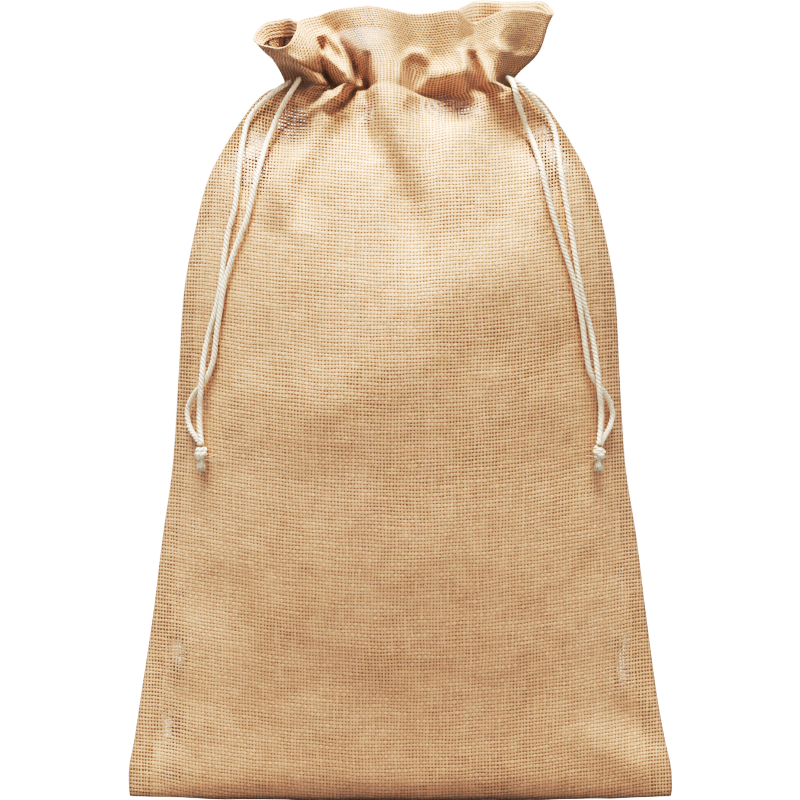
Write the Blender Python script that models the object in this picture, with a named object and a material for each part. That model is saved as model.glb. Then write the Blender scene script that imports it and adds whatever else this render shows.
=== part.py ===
"""A burlap drawstring sack that stands open inside, its neck gathered and its ruffle flared.

Metres, +Z up, the front towards -Y. The origin is at the middle of the base. The cloth is one closed
solid: a folded length of burlap, sewn up both sides. Two cords leave each side of the neck, cross and
end in a knot with a cut tuft.
"""

import math
from collections import namedtuple

import bmesh
import bpy
import numpy as np
from mathutils import Vector
from mathutils.bvhtree import BVHTree

# Cloth
WALL = 0.0012  # thickness of the burlap
SIDE_EDGE = 0.0021  # half the thickness of the edge where front and back are sewn together
SIDE_EDGE_RUN = 0.0028  # how much cloth turns round that edge
CUT_WIDTH = 0.300  # of the flat sack, so the cloth is twice this round
NECK_HEIGHT = 0.3927
COLUMNS_PER_FACE = 42
RUFFLE_STAND = 0.012  # how strongly the ruffle starts straight up
RUFFLE_LEAN = 0.7  # and how strongly outwards, as a share of its flare
TUCK_FADE = 1.5  # how quickly a fold of the neck fades down the body
FOLD_ROOM = 0.010  # a ridge fades where the face is nearer than this to the sack's middle
SOLE_TAPER = 0.035  # how much shorter the bottom fold is than the base is wide
SOLE_ROWS = (0.0, 0.5)  # shares of the way from the bottom fold to the edge of the base
RUFFLE_ROWS = (0.22, 0.48, 0.74, 1.0)  # shares of the way from the neck to the rim
BODY_ROWS = (
    0.000, 0.004, 0.012, 0.028, 0.053, 0.088, 0.128, 0.168, 0.208, 0.248, 0.282,
    0.310, 0.332, 0.350, 0.3635, 0.3735, 0.381, 0.3865, 0.3900, NECK_HEIGHT,
)  # fmt: skip

# Colours, linear, and roughness
BURLAP = (0.60, 0.37, 0.21)
BURLAP_ROUGHNESS = 0.9
COTTON = (0.84, 0.79, 0.68)
COTTON_ROUGHNESS = 0.85

# Cords
CORD_DIAMETER = 0.003
CORD_STEP = 0.007  # between the points of a cord's tube
KNOT_SIDES = 14
CORD_SEAT = 0.0029  # of a cord's middle line, from the middle of the cloth it lies on
LAYING_STEP = 0.00005
SEAT_GAP = 0.0003  # between a cord's end and its knot

# A section of the body. left and right are its seams, front and back how far its faces stand out, and
# bow the half angle of each face's arc: a quarter turn is an oval, less is a lens with sharp sides.
Level = namedtuple("Level", "height left right front back bow")
LEVELS = (
    Level(0.0000, -0.1495, 0.1493, 0.024, 0.024, 0.45),
    Level(0.0040, -0.1500, 0.1500, 0.030, 0.030, 0.45),
    Level(0.0120, -0.1502, 0.1498, 0.034, 0.034, 0.45),
    Level(0.0315, -0.1470, 0.1460, 0.037, 0.037, 0.47),
    Level(0.0535, -0.1437, 0.1420, 0.041, 0.041, 0.54),
    Level(0.0975, -0.1371, 0.1360, 0.053, 0.053, 0.72),
    Level(0.1420, -0.1315, 0.1304, 0.063, 0.063, 0.82),
    Level(0.1860, -0.1255, 0.1238, 0.070, 0.070, 0.90),
    Level(0.2300, -0.1227, 0.1211, 0.0755, 0.0755, 0.94),
    Level(0.2740, -0.1200, 0.1189, 0.0765, 0.0770, 0.92),
    Level(0.3180, -0.1122, 0.1111, 0.0715, 0.0735, 0.96),
    Level(0.3403, -0.1062, 0.1045, 0.0662, 0.0690, 1.00),
    Level(0.3624, -0.0946, 0.0929, 0.0590, 0.0620, 1.08),
    Level(0.3734, -0.0874, 0.0858, 0.0545, 0.0565, 1.20),
    Level(0.3844, -0.0786, 0.0775, 0.0490, 0.0500, 1.40),
    Level(0.3900, -0.0703, 0.0692, 0.0450, 0.0450, 1.57),
    Level(0.3927, -0.0620, 0.0607, 0.0420, 0.0420, 1.57),
)

# The gathered neck, seen from above, from the left seam along the front and back along the rear. A row
# for each ridge or tuck of the cloth: its place, its height beside the neck's, and how far its fold
# reaches down the body.
Tuck = namedtuple("Tuck", "x y rise reach")
NECK_FRONT = (
    Tuck(-0.0620, 0.000, 0.000, 0.030),
    Tuck(-0.0530, -0.016, -0.001, 0.060),
    Tuck(-0.0400, -0.032, -0.003, 0.050),
    Tuck(-0.0345, -0.0270, -0.004, 0.060),
    Tuck(-0.0265, -0.0440, -0.004, 0.070),
    Tuck(-0.0185, -0.030, -0.005, 0.060),
    Tuck(-0.0100, -0.053, -0.005, 0.080),
    Tuck(-0.0005, -0.050, -0.006, 0.080),
    Tuck(0.0063, -0.036, -0.008, 0.060),
    Tuck(0.0130, -0.034, -0.010, 0.040),
    Tuck(0.0225, -0.028, -0.010, 0.035),
    Tuck(0.0335, -0.036, -0.008, 0.050),
    Tuck(0.0400, -0.028, -0.005, 0.060),
    Tuck(0.0480, -0.038, -0.003, 0.080),
    Tuck(0.0550, -0.019, -0.001, 0.060),
)
NECK_BACK = (
    Tuck(0.0607, 0.000, 0.000, 0.030),
    Tuck(0.0540, 0.018, 0.001, 0.050),
    Tuck(0.0440, 0.0355, 0.001, 0.060),
    Tuck(0.0360, 0.0290, 0.001, 0.080),
    Tuck(0.0270, 0.043, 0.000, 0.060),
    Tuck(0.0190, 0.030, 0.000, 0.060),
    Tuck(0.0080, 0.046, 0.000, 0.070),
    Tuck(-0.0010, 0.031, 0.000, 0.090),
    Tuck(-0.0110, 0.045, 0.000, 0.060),
    Tuck(-0.0190, 0.030, 0.000, 0.060),
    Tuck(-0.0290, 0.042, 0.000, 0.060),
    Tuck(-0.0365, 0.0290, 0.001, 0.080),
    Tuck(-0.0450, 0.0355, 0.001, 0.060),
    Tuck(-0.0550, 0.018, 0.001, 0.050),
)

# The rim of the ruffle, in the same order. A row for each crest or dip of the edge.
Turn = namedtuple("Turn", "x y z")
RIM_FRONT = (
    Turn(-0.0645, -0.004, 0.4278),
    Turn(-0.0747, -0.008, 0.4244),
    Turn(-0.0789, -0.015, 0.4169),
    Turn(-0.0733, -0.026, 0.4108),
    Turn(-0.0663, -0.034, 0.4085),
    Turn(-0.0595, -0.044, 0.4101),
    Turn(-0.0558, -0.040, 0.4175),
    Turn(-0.0545, -0.030, 0.4241),
    Turn(-0.0447, -0.026, 0.4272),
    Turn(-0.0354, -0.032, 0.4296),
    Turn(-0.0260, -0.038, 0.4303),
    Turn(-0.0158, -0.042, 0.4307),
    Turn(-0.0045, -0.041, 0.4287),
    Turn(0.0062, -0.036, 0.4271),
    Turn(0.0169, -0.035, 0.4276),
    Turn(0.0254, -0.035, 0.4290),
    Turn(0.0302, -0.036, 0.4290),
    Turn(0.0353, -0.031, 0.4251),
    Turn(0.0403, -0.026, 0.4233),
    Turn(0.0472, -0.029, 0.4261),
    Turn(0.0562, -0.028, 0.4297),
    Turn(0.0671, -0.020, 0.4313),
    Turn(0.0768, -0.012, 0.4312),
    Turn(0.0841, -0.006, 0.4306),
)
RIM_BACK = (
    Turn(0.0816, -0.001, 0.4354),
    Turn(0.0722, 0.020, 0.4399),
    Turn(0.0587, 0.040, 0.4427),
    Turn(0.0449, 0.034, 0.4426),
    Turn(0.0348, 0.050, 0.4406),
    Turn(0.0220, 0.060, 0.4330),
    Turn(0.0110, 0.044, 0.4280),
    Turn(0.0000, 0.058, 0.4190),
    Turn(-0.0110, 0.062, 0.4120),
    Turn(-0.0200, 0.046, 0.4100),
    Turn(-0.0310, 0.054, 0.4160),
    Turn(-0.0420, 0.044, 0.4220),
    Turn(-0.0480, 0.026, 0.4260),
    Turn(-0.0590, 0.016, 0.4290),
)


# Soft folds of the body, each a straight run of a trough, or of a ridge where its depth is negative.
# side is -1 on the front and 1 on the back. They fade at both ends.
Fold = namedtuple("Fold", "side from_x from_z to_x to_z width depth")
FOLDS = (
    Fold(-1, -0.013, 0.398, 0.014, 0.272, 0.010, 0.0045),  # from the middle of the neck
    Fold(-1, -0.058, 0.388, -0.078, 0.335, 0.010, 0.0060),  # hollow of the left shoulder
    Fold(-1, 0.058, 0.388, 0.080, 0.340, 0.010, 0.0050),  # hollow of the right shoulder
    Fold(-1, 0.040, 0.386, 0.058, 0.300, 0.011, 0.0035),
    Fold(-1, -0.026, 0.398, -0.056, 0.305, 0.009, 0.0025),
    Fold(-1, 0.092, 0.050, 0.142, 0.014, 0.008, -0.0042),  # ridge to the right corner
    Fold(-1, 0.108, 0.066, 0.146, 0.028, 0.008, 0.0032),
    Fold(-1, -0.116, 0.070, -0.139, 0.010, 0.009, 0.0030),  # towards the left corner
    Fold(1, 0.004, 0.384, -0.008, 0.290, 0.010, 0.0055),
    Fold(1, 0.046, 0.386, 0.068, 0.318, 0.010, 0.0045),
    Fold(1, -0.044, 0.386, -0.066, 0.310, 0.011, 0.0045),
    Fold(1, -0.098, 0.060, -0.138, 0.012, 0.009, -0.0040),
    Fold(1, 0.104, 0.066, 0.140, 0.012, 0.009, 0.0035),
)

# The cords' middle lines, from where they leave the neck down to their knots: how far across, how high,
# and how far each is lifted off the cloth. The inner cord of each side passes behind the outer one
# shortly before the knot.
ROUTES = {
    "cord_left_inner": (
        (-0.0548, 0.3938, 0.0000),
        (-0.0567, 0.3905, 0.0000),
        (-0.0597, 0.3856, 0.0000),
        (-0.0638, 0.3792, 0.0000),
        (-0.0672, 0.3731, 0.0000),
        (-0.0699, 0.3661, 0.0000),
        (-0.0727, 0.3592, 0.0000),
        (-0.0750, 0.3501, 0.0000),
        (-0.0774, 0.3398, 0.0000),
        (-0.0786, 0.3334, 0.0000),
        (-0.0801, 0.3269, 0.0000),
        (-0.0826, 0.3167, 0.0000),
        (-0.0873, 0.3049, 0.0000),
        (-0.0918, 0.2923, 0.0000),
        (-0.0949, 0.2821, 0.0000),
        (-0.0973, 0.2686, 0.0000),
        (-0.0996, 0.2535, 0.0000),
        (-0.1018, 0.2385, 0.0000),
        (-0.1059, 0.2293, 0.0000),
        (-0.1120, 0.2224, 0.0000),
        (-0.1160, 0.2146, 0.0000),
        (-0.1160, 0.2079, 0.0000),
        (-0.1138, 0.2020, 0.0000),
        (-0.1108, 0.1980, 0.0004),
        (-0.1087, 0.1948, 0.0010),
    ),
    "cord_left_outer": (
        (-0.0605, 0.3932, 0.0000),
        (-0.0640, 0.3904, 0.0000),
        (-0.0690, 0.3872, 0.0000),
        (-0.0742, 0.3830, 0.0000),
        (-0.0796, 0.3776, 0.0000),
        (-0.0833, 0.3718, 0.0000),
        (-0.0857, 0.3616, 0.0000),
        (-0.0871, 0.3506, 0.0000),
        (-0.0882, 0.3365, 0.0000),
        (-0.0897, 0.3226, 0.0000),
        (-0.0933, 0.3090, 0.0000),
        (-0.0954, 0.2952, 0.0000),
        (-0.0972, 0.2815, 0.0000),
        (-0.1002, 0.2671, 0.0000),
        (-0.1042, 0.2535, 0.0006),
        (-0.1067, 0.2406, 0.0022),
        (-0.1077, 0.2314, 0.0032),
        (-0.1083, 0.2233, 0.0032),
        (-0.1090, 0.2147, 0.0020),
        (-0.1089, 0.2041, 0.0024),
        (-0.1078, 0.1948, 0.0032),
    ),
    "cord_right_inner": (
        (0.0581, 0.3943, 0.0004),
        (0.0595, 0.3929, 0.0004),
        (0.0618, 0.3864, 0.0003),
        (0.0637, 0.3791, 0.0000),
        (0.0662, 0.3736, 0.0000),
        (0.0684, 0.3674, 0.0000),
        (0.0710, 0.3612, 0.0000),
        (0.0732, 0.3542, 0.0000),
        (0.0767, 0.3409, 0.0000),
        (0.0783, 0.3334, 0.0000),
        (0.0805, 0.3243, 0.0000),
        (0.0855, 0.3080, 0.0000),
        (0.0905, 0.2930, 0.0000),
        (0.0935, 0.2836, 0.0000),
        (0.0963, 0.2715, 0.0000),
        (0.0988, 0.2572, 0.0000),
        (0.1006, 0.2441, 0.0000),
        (0.1030, 0.2335, 0.0000),
        (0.1098, 0.2245, 0.0000),
        (0.1144, 0.2175, 0.0000),
        (0.1158, 0.2114, 0.0000),
        (0.1146, 0.2054, 0.0000),
        (0.1114, 0.1998, 0.0000),
        (0.1084, 0.1948, 0.0010),
    ),
    "cord_right_outer": (
        (0.0603, 0.3942, 0.0000),
        (0.0642, 0.3915, 0.0000),
        (0.0697, 0.3866, 0.0000),
        (0.0747, 0.3813, 0.0000),
        (0.0792, 0.3763, 0.0000),
        (0.0831, 0.3691, 0.0000),
        (0.0855, 0.3562, 0.0000),
        (0.0870, 0.3422, 0.0000),
        (0.0896, 0.3261, 0.0000),
        (0.0920, 0.3117, 0.0000),
        (0.0945, 0.2966, 0.0000),
        (0.0966, 0.2837, 0.0000),
        (0.0992, 0.2716, 0.0000),
        (0.1029, 0.2573, 0.0005),
        (0.1056, 0.2435, 0.0022),
        (0.1071, 0.2325, 0.0032),
        (0.1080, 0.2228, 0.0032),
        (0.1089, 0.2136, 0.0022),
        (0.1086, 0.2038, 0.0024),
        (0.1074, 0.1948, 0.0032),
    ),
}

# A knot, turned about its own upright axis, and the cut tuft below it. drop is from the cords' ends.
Ring = namedtuple("Ring", "drop radius")
KNOT_RINGS = (
    Ring(0.0000, 0.0022),
    Ring(0.0008, 0.0031),
    Ring(0.0025, 0.0036),
    Ring(0.0050, 0.0036),
    Ring(0.0066, 0.0029),
    Ring(0.0076, 0.0023),
    Ring(0.0098, 0.0026),
    Ring(0.0138, 0.0034),
)
KNOTS = {
    "knot_left": (-0.1082, 0.1940, 0.0022),
    "knot_right": (0.1078, 0.1940, 0.0022),
}


def smooth(known, values, wanted):
    """A curve through the known points that adds no bump of its own, read at the wanted places."""
    known, values = np.asarray(known, float), np.asarray(values, float)
    step = np.diff(known)
    slope = np.diff(values) / step
    before, after = slope[:-1], slope[1:]
    same_way = before * after > 0
    middle = np.where(same_way, 2 * before * after / np.where(same_way, before + after, 1), 0)
    tangent = np.concatenate([slope[:1], middle, slope[-1:]])
    i = np.clip(np.searchsorted(known, wanted, side="right") - 1, 0, len(step) - 1)
    f = np.clip((wanted - known[i]) / step[i], 0, 1)
    low = values[i] * (1 + 2 * f) + tangent[i] * step[i] * f
    high = values[i + 1] * (3 - 2 * f) - tangent[i + 1] * step[i] * (1 - f)
    return low * (1 - f) ** 2 + high * f**2


def closed_loop(points, places, wanted):
    """A smooth closed curve through points at these shares of the way round, read at the wanted ones."""
    points = np.asarray(points, float)
    before, after = np.roll(points, 1, axis=0), np.roll(points, -1, axis=0)
    run_after = (np.roll(places, -1) - places) % 1
    run_before = np.roll(run_after, 1)
    slope_after = (after - points) / run_after[:, None]
    slope_before = (points - before) / run_before[:, None]
    weight = (run_before / (run_before + run_after))[:, None]
    tangent = slope_before * (1 - weight) + slope_after * weight
    i = np.searchsorted(places, wanted % 1, side="right") - 1
    j = (i + 1) % len(points)
    run = run_after[i][:, None]
    f = ((wanted % 1 - places[i]) / run_after[i])[:, None]
    low = points[i] * (1 + 2 * f) + tangent[i] * run * f
    high = points[j] * (3 - 2 * f) - tangent[j] * run * (1 - f)
    return low * (1 - f) ** 2 + high * f**2


def shares_by_distance(front, back):
    """The share of the way round of each point: the front takes the first half, the back the second."""
    points = np.asarray([*front, *back], float)
    gaps = np.linalg.norm(np.roll(points, -1, axis=0) - points, axis=1)
    n = len(front)
    first = np.concatenate([[0], np.cumsum(gaps[:n])])
    second = np.concatenate([[0], np.cumsum(gaps[n:])])
    return np.concatenate([first[:-1] / first[-1] / 2, 0.5 + second[:-1] / second[-1] / 2])


def body_section(height, shares):
    """The smooth outline of the body at this height, with no folds: x and y for each share."""
    column = np.array(LEVELS).T
    left, right, front, back, bow = (smooth(column[0], values, height) for values in column[1:])
    on_front = shares <= 0.5
    along = np.where(on_front, 2 * shares, 2 - 2 * shares)
    angle = bow * (2 * along - 1)
    x = (left + right) / 2 + (right - left) / 2 * np.sin(angle) / math.sin(bow)
    arch = (np.cos(angle) - math.cos(bow)) / (1 - math.cos(bow))
    from_seam = np.minimum(along, 1 - along) * CUT_WIDTH
    edge = SIDE_EDGE * np.sqrt(1 - (1 - np.clip(from_seam / SIDE_EDGE_RUN, 0, 1)) ** 2)
    y = np.where(on_front, -front, back) * arch + np.where(on_front, -edge, edge)
    return np.stack([x, y], axis=1)


def fold_depths(x, z, on_front):
    """How far the soft folds draw each point of the body in."""
    drawn_in = np.zeros(len(x))
    for fold in FOLDS:
        start = np.array([fold.from_x, fold.from_z])
        run = np.array([fold.to_x, fold.to_z]) - start
        length = np.hypot(*run)
        out_x, out_z = x - start[0], z - start[1]
        along = (out_x * run[0] + out_z * run[1]) / length**2
        across = (out_x * run[1] - out_z * run[0]) / length
        fading = np.clip(1 - (2 * along - 1) ** 2, 0, 1) ** 1.5
        here = on_front if fold.side < 0 else ~on_front
        drawn_in += here * fold.depth * fading * np.exp(-((across / fold.width) ** 2))
    return drawn_in


def body_points(height, shares):
    """The body without the neck's gathers: its sections, drawn in by its soft folds."""
    outline = body_section(height, shares)
    x, y = outline.T
    on_front = shares <= 0.5
    drawn_in = fold_depths(x, np.full(len(x), height), on_front)
    room = np.clip(np.abs(y) - SIDE_EDGE, 0, None)
    trough = np.minimum(drawn_in, room / 2)
    ridge = drawn_in * np.minimum(room / FOLD_ROOM, 1)
    drawn_in = np.where(drawn_in > 0, trough, ridge)
    y = y + np.where(on_front, drawn_in, -drawn_in)
    return np.column_stack([x, y, np.full(len(x), height)])


def neck_places():
    tucks = np.array([*NECK_FRONT, *NECK_BACK])
    return tucks, shares_by_distance([t[:2] for t in NECK_FRONT], [t[:2] for t in NECK_BACK])


def neck_points(shares):
    """The gathered neck: where each share of the cloth lies, and how far its fold reaches down."""
    tucks, places = neck_places()
    found = closed_loop(tucks, places, shares)
    points = np.column_stack([found[:, :2], NECK_HEIGHT + found[:, 2]])
    return points, found[:, 3:]


def rim_points(shares):
    turns = np.array([*RIM_FRONT, *RIM_BACK])
    return closed_loop(turns, shares_by_distance(RIM_FRONT, RIM_BACK), shares)


def sole_row(along, shares):
    """The flat base, from the bottom fold (0), which is a little shorter, to its edge (1)."""
    edge = body_points(0, shares)
    return edge * [1 - SOLE_TAPER * (1 - along), along, 1]


def body_row(height, shares):
    """The body, with the neck's folds running down it and fading out."""
    plain = body_points(height, shares)
    neck, reach = neck_points(shares)
    fold = neck - body_points(NECK_HEIGHT, shares)
    left = np.clip(1 - (NECK_HEIGHT - height) / reach, 0, 1)
    return plain + fold * left**TUCK_FADE


def ruffle_row(along, shares):
    """The ruffle, from the neck (0) to the rim (1): it stands up a little, then flares."""
    neck, _ = neck_points(shares)
    rim = rim_points(shares)
    flare = rim - neck
    start = RUFFLE_LEAN * flare + np.array([0, 0, RUFFLE_STAND])
    low = neck * (1 + 2 * along) + start * along
    high = rim * (3 - 2 * along) - flare * (1 - along)
    return low * (1 - along) ** 2 + high * along**2


def column_shares():
    """Even columns of cloth round the sack, with one more on each side of a seam to turn its edge."""
    even = np.arange(COLUMNS_PER_FACE) / COLUMNS_PER_FACE / 2
    edge = SIDE_EDGE_RUN / CUT_WIDTH / 2
    face = np.sort(np.concatenate([even, [edge, 0.5 - edge]]))
    return np.concatenate([face, 0.5 + face])


def material(name, colour, roughness):
    made = bpy.data.materials.new(name)
    made.use_nodes = True
    shader = made.node_tree.nodes["Principled BSDF"]
    shader.inputs["Base Color"].default_value = (*colour, 1)
    shader.inputs["Roughness"].default_value = roughness
    shader.inputs["Metallic"].default_value = 0
    return made


def add_object(name, data, finish):
    data.materials.append(finish)
    piece = bpy.data.objects.new(name, data)
    bpy.context.scene.collection.objects.link(piece)
    return piece


def cloth_middle():
    """The middle of the cloth, as one mesh: rows of points from the bottom fold up to the rim."""
    shares = column_shares()
    count = len(shares)
    rows = [sole_row(along, shares) for along in SOLE_ROWS]
    rows += [body_row(height, shares) for height in BODY_ROWS]
    rows += [ruffle_row(along, shares) for along in RUFFLE_ROWS]
    points = np.concatenate(rows) + [0, 0, WALL / 2]

    def corner(row, column):
        """Front and back share the bottom fold, which is the first row."""
        column %= count
        return min(column, (count - column) % count) if row == 0 else row * count + column

    faces = []
    for row in range(len(rows) - 1):
        for column in range(count):
            near, far = corner(row, column), corner(row, column + 1)
            above, beyond = corner(row + 1, column), corner(row + 1, column + 1)
            for ring in ((near, far, above), (far, beyond, above)):
                if len(set(ring)) == 3:
                    faces.append(ring)
    mesh = bpy.data.meshes.new("cloth_middle")
    mesh.from_pydata(points.tolist(), [], faces)
    rim = [(corner(len(rows) - 1, i), corner(len(rows) - 1, i + 1)) for i in range(count)]
    return mesh, rim


def sack(finish):
    """Gives the cloth its thickness. The outer side of the base is flat on the ground."""
    middle, rim = cloth_middle()
    points = np.array([vertex.co for vertex in middle.vertices])
    outward = np.array([normal.vector for normal in middle.vertex_normals])
    outer = points + outward * WALL / 2
    outer[:, 2] = np.maximum(outer[:, 2], 0)
    inner = points - outward * WALL / 2
    count = len(points)
    faces = [list(face.vertices) for face in middle.polygons]
    faces += [[count + i for i in reversed(face)] for face in faces]
    faces += [[a, b, count + b, count + a] for a, b in rim]
    bpy.data.meshes.remove(middle)
    mesh = bpy.data.meshes.new("sack")
    mesh.from_pydata(np.concatenate([outer, inner]).tolist(), [], faces)
    used = bmesh.new()
    used.from_mesh(mesh)
    bmesh.ops.delete(used, geom=[v for v in used.verts if not v.link_faces], context="VERTS")
    used.to_mesh(mesh)
    used.free()
    mesh.shade_smooth()
    return add_object("sack", mesh, finish)


def cloth_to_lie_on():
    """A tree of the cloth's faces, to find where a cord touches it."""
    middle, _ = cloth_middle()
    points = [tuple(vertex.co) for vertex in middle.vertices]
    faces = [tuple(face.vertices) for face in middle.polygons]
    bpy.data.meshes.remove(middle)
    return BVHTree.FromPolygons(points, faces)


def laid_on(cloth, places):
    """The places, each set down on the front of the cloth and lifted off it by its own amount."""
    laid = []
    for x, z, lift in places:
        place = cloth.ray_cast(Vector((x, -0.2, z)), Vector((0, 1, 0)))[0]
        while cloth.find_nearest(place)[3] < CORD_SEAT + lift:
            place.y -= LAYING_STEP
        laid.append(tuple(place))
    return laid


def line_through(points, step):
    """A smooth line through these points, as points about this far apart."""
    points = np.asarray(points, float)
    gaps = np.linalg.norm(np.diff(points, axis=0), axis=1)
    places = np.concatenate([[0], np.cumsum(gaps)])
    slopes = np.diff(points, axis=0) / gaps[:, None]
    weight = (gaps[:-1] / (gaps[:-1] + gaps[1:]))[:, None]
    middle = slopes[:-1] * (1 - weight) + slopes[1:] * weight
    tangents = np.concatenate([slopes[:1], middle, slopes[-1:]])
    wanted = np.linspace(0, places[-1], round(places[-1] / step) + 1)
    i = np.clip(np.searchsorted(places, wanted, side="right") - 1, 0, len(gaps) - 1)
    run = gaps[i][:, None]
    f = (wanted - places[i])[:, None] / run
    low = points[i] * (1 + 2 * f) + tangents[i] * run * f
    high = points[i + 1] * (3 - 2 * f) - tangents[i + 1] * run * (1 - f)
    return low * (1 - f) ** 2 + high * f**2


def cord(name, route, finish):
    """A plain tube along the cord's route."""
    points = line_through(route, CORD_STEP)
    curve = bpy.data.curves.new(name, "CURVE")
    curve.dimensions = "3D"
    curve.bevel_depth = CORD_DIAMETER / 2
    curve.bevel_resolution = 2
    curve.use_fill_caps = True
    spline = curve.splines.new("POLY")
    spline.points.add(len(points) - 1)
    spline.points.foreach_set("co", np.column_stack([points, np.ones(len(points))]).ravel())
    return add_object(name, curve, finish)


def knot(name, place, finish):
    """The knot of one side's two cords, with its tuft: a turned shape, a gap below the cords' ends."""
    turned = bmesh.new()
    rings = []
    for ring in KNOT_RINGS:
        around = [2 * math.pi * i / KNOT_SIDES for i in range(KNOT_SIDES)]
        drop = -SEAT_GAP - ring.drop
        rings.append([
            turned.verts.new((ring.radius * math.cos(a), ring.radius * math.sin(a), drop)) for a in around
        ])
    for above, below in zip(rings, rings[1:]):
        for i in range(KNOT_SIDES):
            j = (i + 1) % KNOT_SIDES
            turned.faces.new((above[i], below[i], below[j], above[j]))
    turned.faces.new(rings[0])
    turned.faces.new(rings[-1][::-1])
    mesh = bpy.data.meshes.new(name)
    turned.to_mesh(mesh)
    turned.free()
    mesh.shade_smooth()
    piece = add_object(name, mesh, finish)
    piece.location = place
    return piece


def clear_scene():
    for piece in list(bpy.data.objects):
        bpy.data.objects.remove(piece, do_unlink=True)


def main():
    clear_scene()
    sack(material("burlap", BURLAP, BURLAP_ROUGHNESS))
    cloth = cloth_to_lie_on()
    for name, route in ROUTES.items():
        cord(name, laid_on(cloth, route), material(name, COTTON, COTTON_ROUGHNESS))
    for name, place in KNOTS.items():
        knot(name, laid_on(cloth, [place])[0], material(name, COTTON, COTTON_ROUGHNESS))


main()
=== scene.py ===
"""A burlap drawstring sack that stands upright: cloth with its hem and seams, twisted cords and knots.

Metres, +Z up, the front towards -Y, the origin at the middle of the base. The cloth is one length of
burlap, folded at the bottom and sewn up both sides, so a place on it has a face (front or back), a share
of the way across from the left seam to the right one, and a height along the cloth from the bottom fold.
Creases and openings are placed as they show from straight in front, on the plane of the side seams.
"""

import math
from collections import namedtuple

import bmesh
import bpy
import numpy as np
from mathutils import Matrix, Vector, noise
from mathutils.bvhtree import BVHTree


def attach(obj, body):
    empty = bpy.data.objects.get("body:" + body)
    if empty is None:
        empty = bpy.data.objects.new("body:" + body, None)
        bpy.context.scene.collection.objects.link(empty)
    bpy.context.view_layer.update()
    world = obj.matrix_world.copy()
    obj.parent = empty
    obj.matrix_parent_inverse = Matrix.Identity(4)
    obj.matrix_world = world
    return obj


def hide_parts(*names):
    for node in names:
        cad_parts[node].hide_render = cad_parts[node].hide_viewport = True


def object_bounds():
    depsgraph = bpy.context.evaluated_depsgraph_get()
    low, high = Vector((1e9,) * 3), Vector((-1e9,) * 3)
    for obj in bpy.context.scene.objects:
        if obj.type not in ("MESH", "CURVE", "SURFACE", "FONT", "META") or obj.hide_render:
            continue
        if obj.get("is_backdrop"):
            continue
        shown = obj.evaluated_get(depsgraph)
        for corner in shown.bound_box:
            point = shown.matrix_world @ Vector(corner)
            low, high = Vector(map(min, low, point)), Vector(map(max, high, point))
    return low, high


# ---------------------------------------------------------------- sizes

MM = 0.001
VIEW_DISTANCE = 1.8  # of the camera, from the plane of the side seams
VIEW_HEIGHT = 0.219
VIEW_ACROSS = -0.0003

# Cloth
SIDE_EDGE = 0.0021  # half the thickness of the edge where front and back are sewn together
SIDE_EDGE_RUN = 0.0028  # how much cloth turns round that edge
CUT_WIDTH = 0.300  # of the flat sack, so the cloth is twice this round
CUT_LENGTH = 0.498  # of each face, from the bottom fold to the rim
NECK_HEIGHT = 0.3927
RUFFLE_STAND = 0.012  # how strongly the ruffle starts straight up
RUFFLE_LEAN = 0.7  # and how strongly outwards, as a share of its flare
TUCK_FADE = 1.5  # how quickly a fold of the neck fades down the body
FOLD_FADE = 1.5  # and a soft fold of the body towards its ends
FOLD_ROOM = 0.010  # a ridge fades where the face is nearer than this to the sack's middle
SOLE_TAPER = 0.035  # how much shorter the bottom fold is than the base is wide
CLOTH_LIFT = 0.0006  # the tables give the middle of the cloth where it lies on the ground
GROUND_GAP = 0.0004
HEM_GAP = 0.0013  # between the cloth and its hem
SEAM_BAND = 0.014  # how far the doubled cloth reaches from a side seam
SEAM_GAP = 0.0009

# The cloth's finer shape
FACING_FROM = 0.004  # a crease begins where the cloth is this far out from the plane of the seams
FACING_RUN = 0.012
BLUNT_WIDTH = 8.0  # mm: a crease as wide as this fades over its whole run, a finer one near its ends
WAVE_HEIGHT = 0.0009
WAVE_SIZE = 0.034
WRINKLE_HEIGHT = 0.00035
WRINKLE_SIZE = 0.011
SEEDS_APART = 17.3  # between the places in the noise of two seeds

# The cloth's mesh
COARSE_COLUMNS = 96  # a face, below SPLIT_HEIGHT
SPLIT = 3  # columns above it for each one below
SPLIT_HEIGHT = 0.306
SOLE_ROWS = 6
LOWER_ROW = 0.0035
UPPER_ROW = 0.0013
RUFFLE_ROWS = 36
HEM_ROWS = 5
HEM_ROW_STEP = 2  # rows of the ruffle for each one of the hem
ALLOWANCE_COLUMNS = (2, 5)  # coarse columns between which the seam's cut edge lies
JOIN_DISTANCE = 0.000001
FLAT_MAP = "flat"
CLOTH_VALUES = ("looseness", "clearness", "run")

# How the weave lies on the cloth
WARP_PITCH = 0.00175
WEFT_PITCH = 0.00198
SMOOTHED_COLUMNS = 12  # over which the cloth's lengths are evened out
SAG_EVENED = 0.5  # how much the weave stretches, so that its rows sag less towards the middle
YARNS_SEEN = 0.92  # of the yarns that a narrow row holds, as the rest is hidden in its creases
SPREAD_BEND = 14.0  # how sharply a row stops at its full spread
SEEN_BELOW = 0.425  # below this height the warp keeps its distance as it shows from in front
SEEN_FADE = 0.025
SEEN_LEAST = 0.45  # the least of that distance where the cloth turns to the sides

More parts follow.
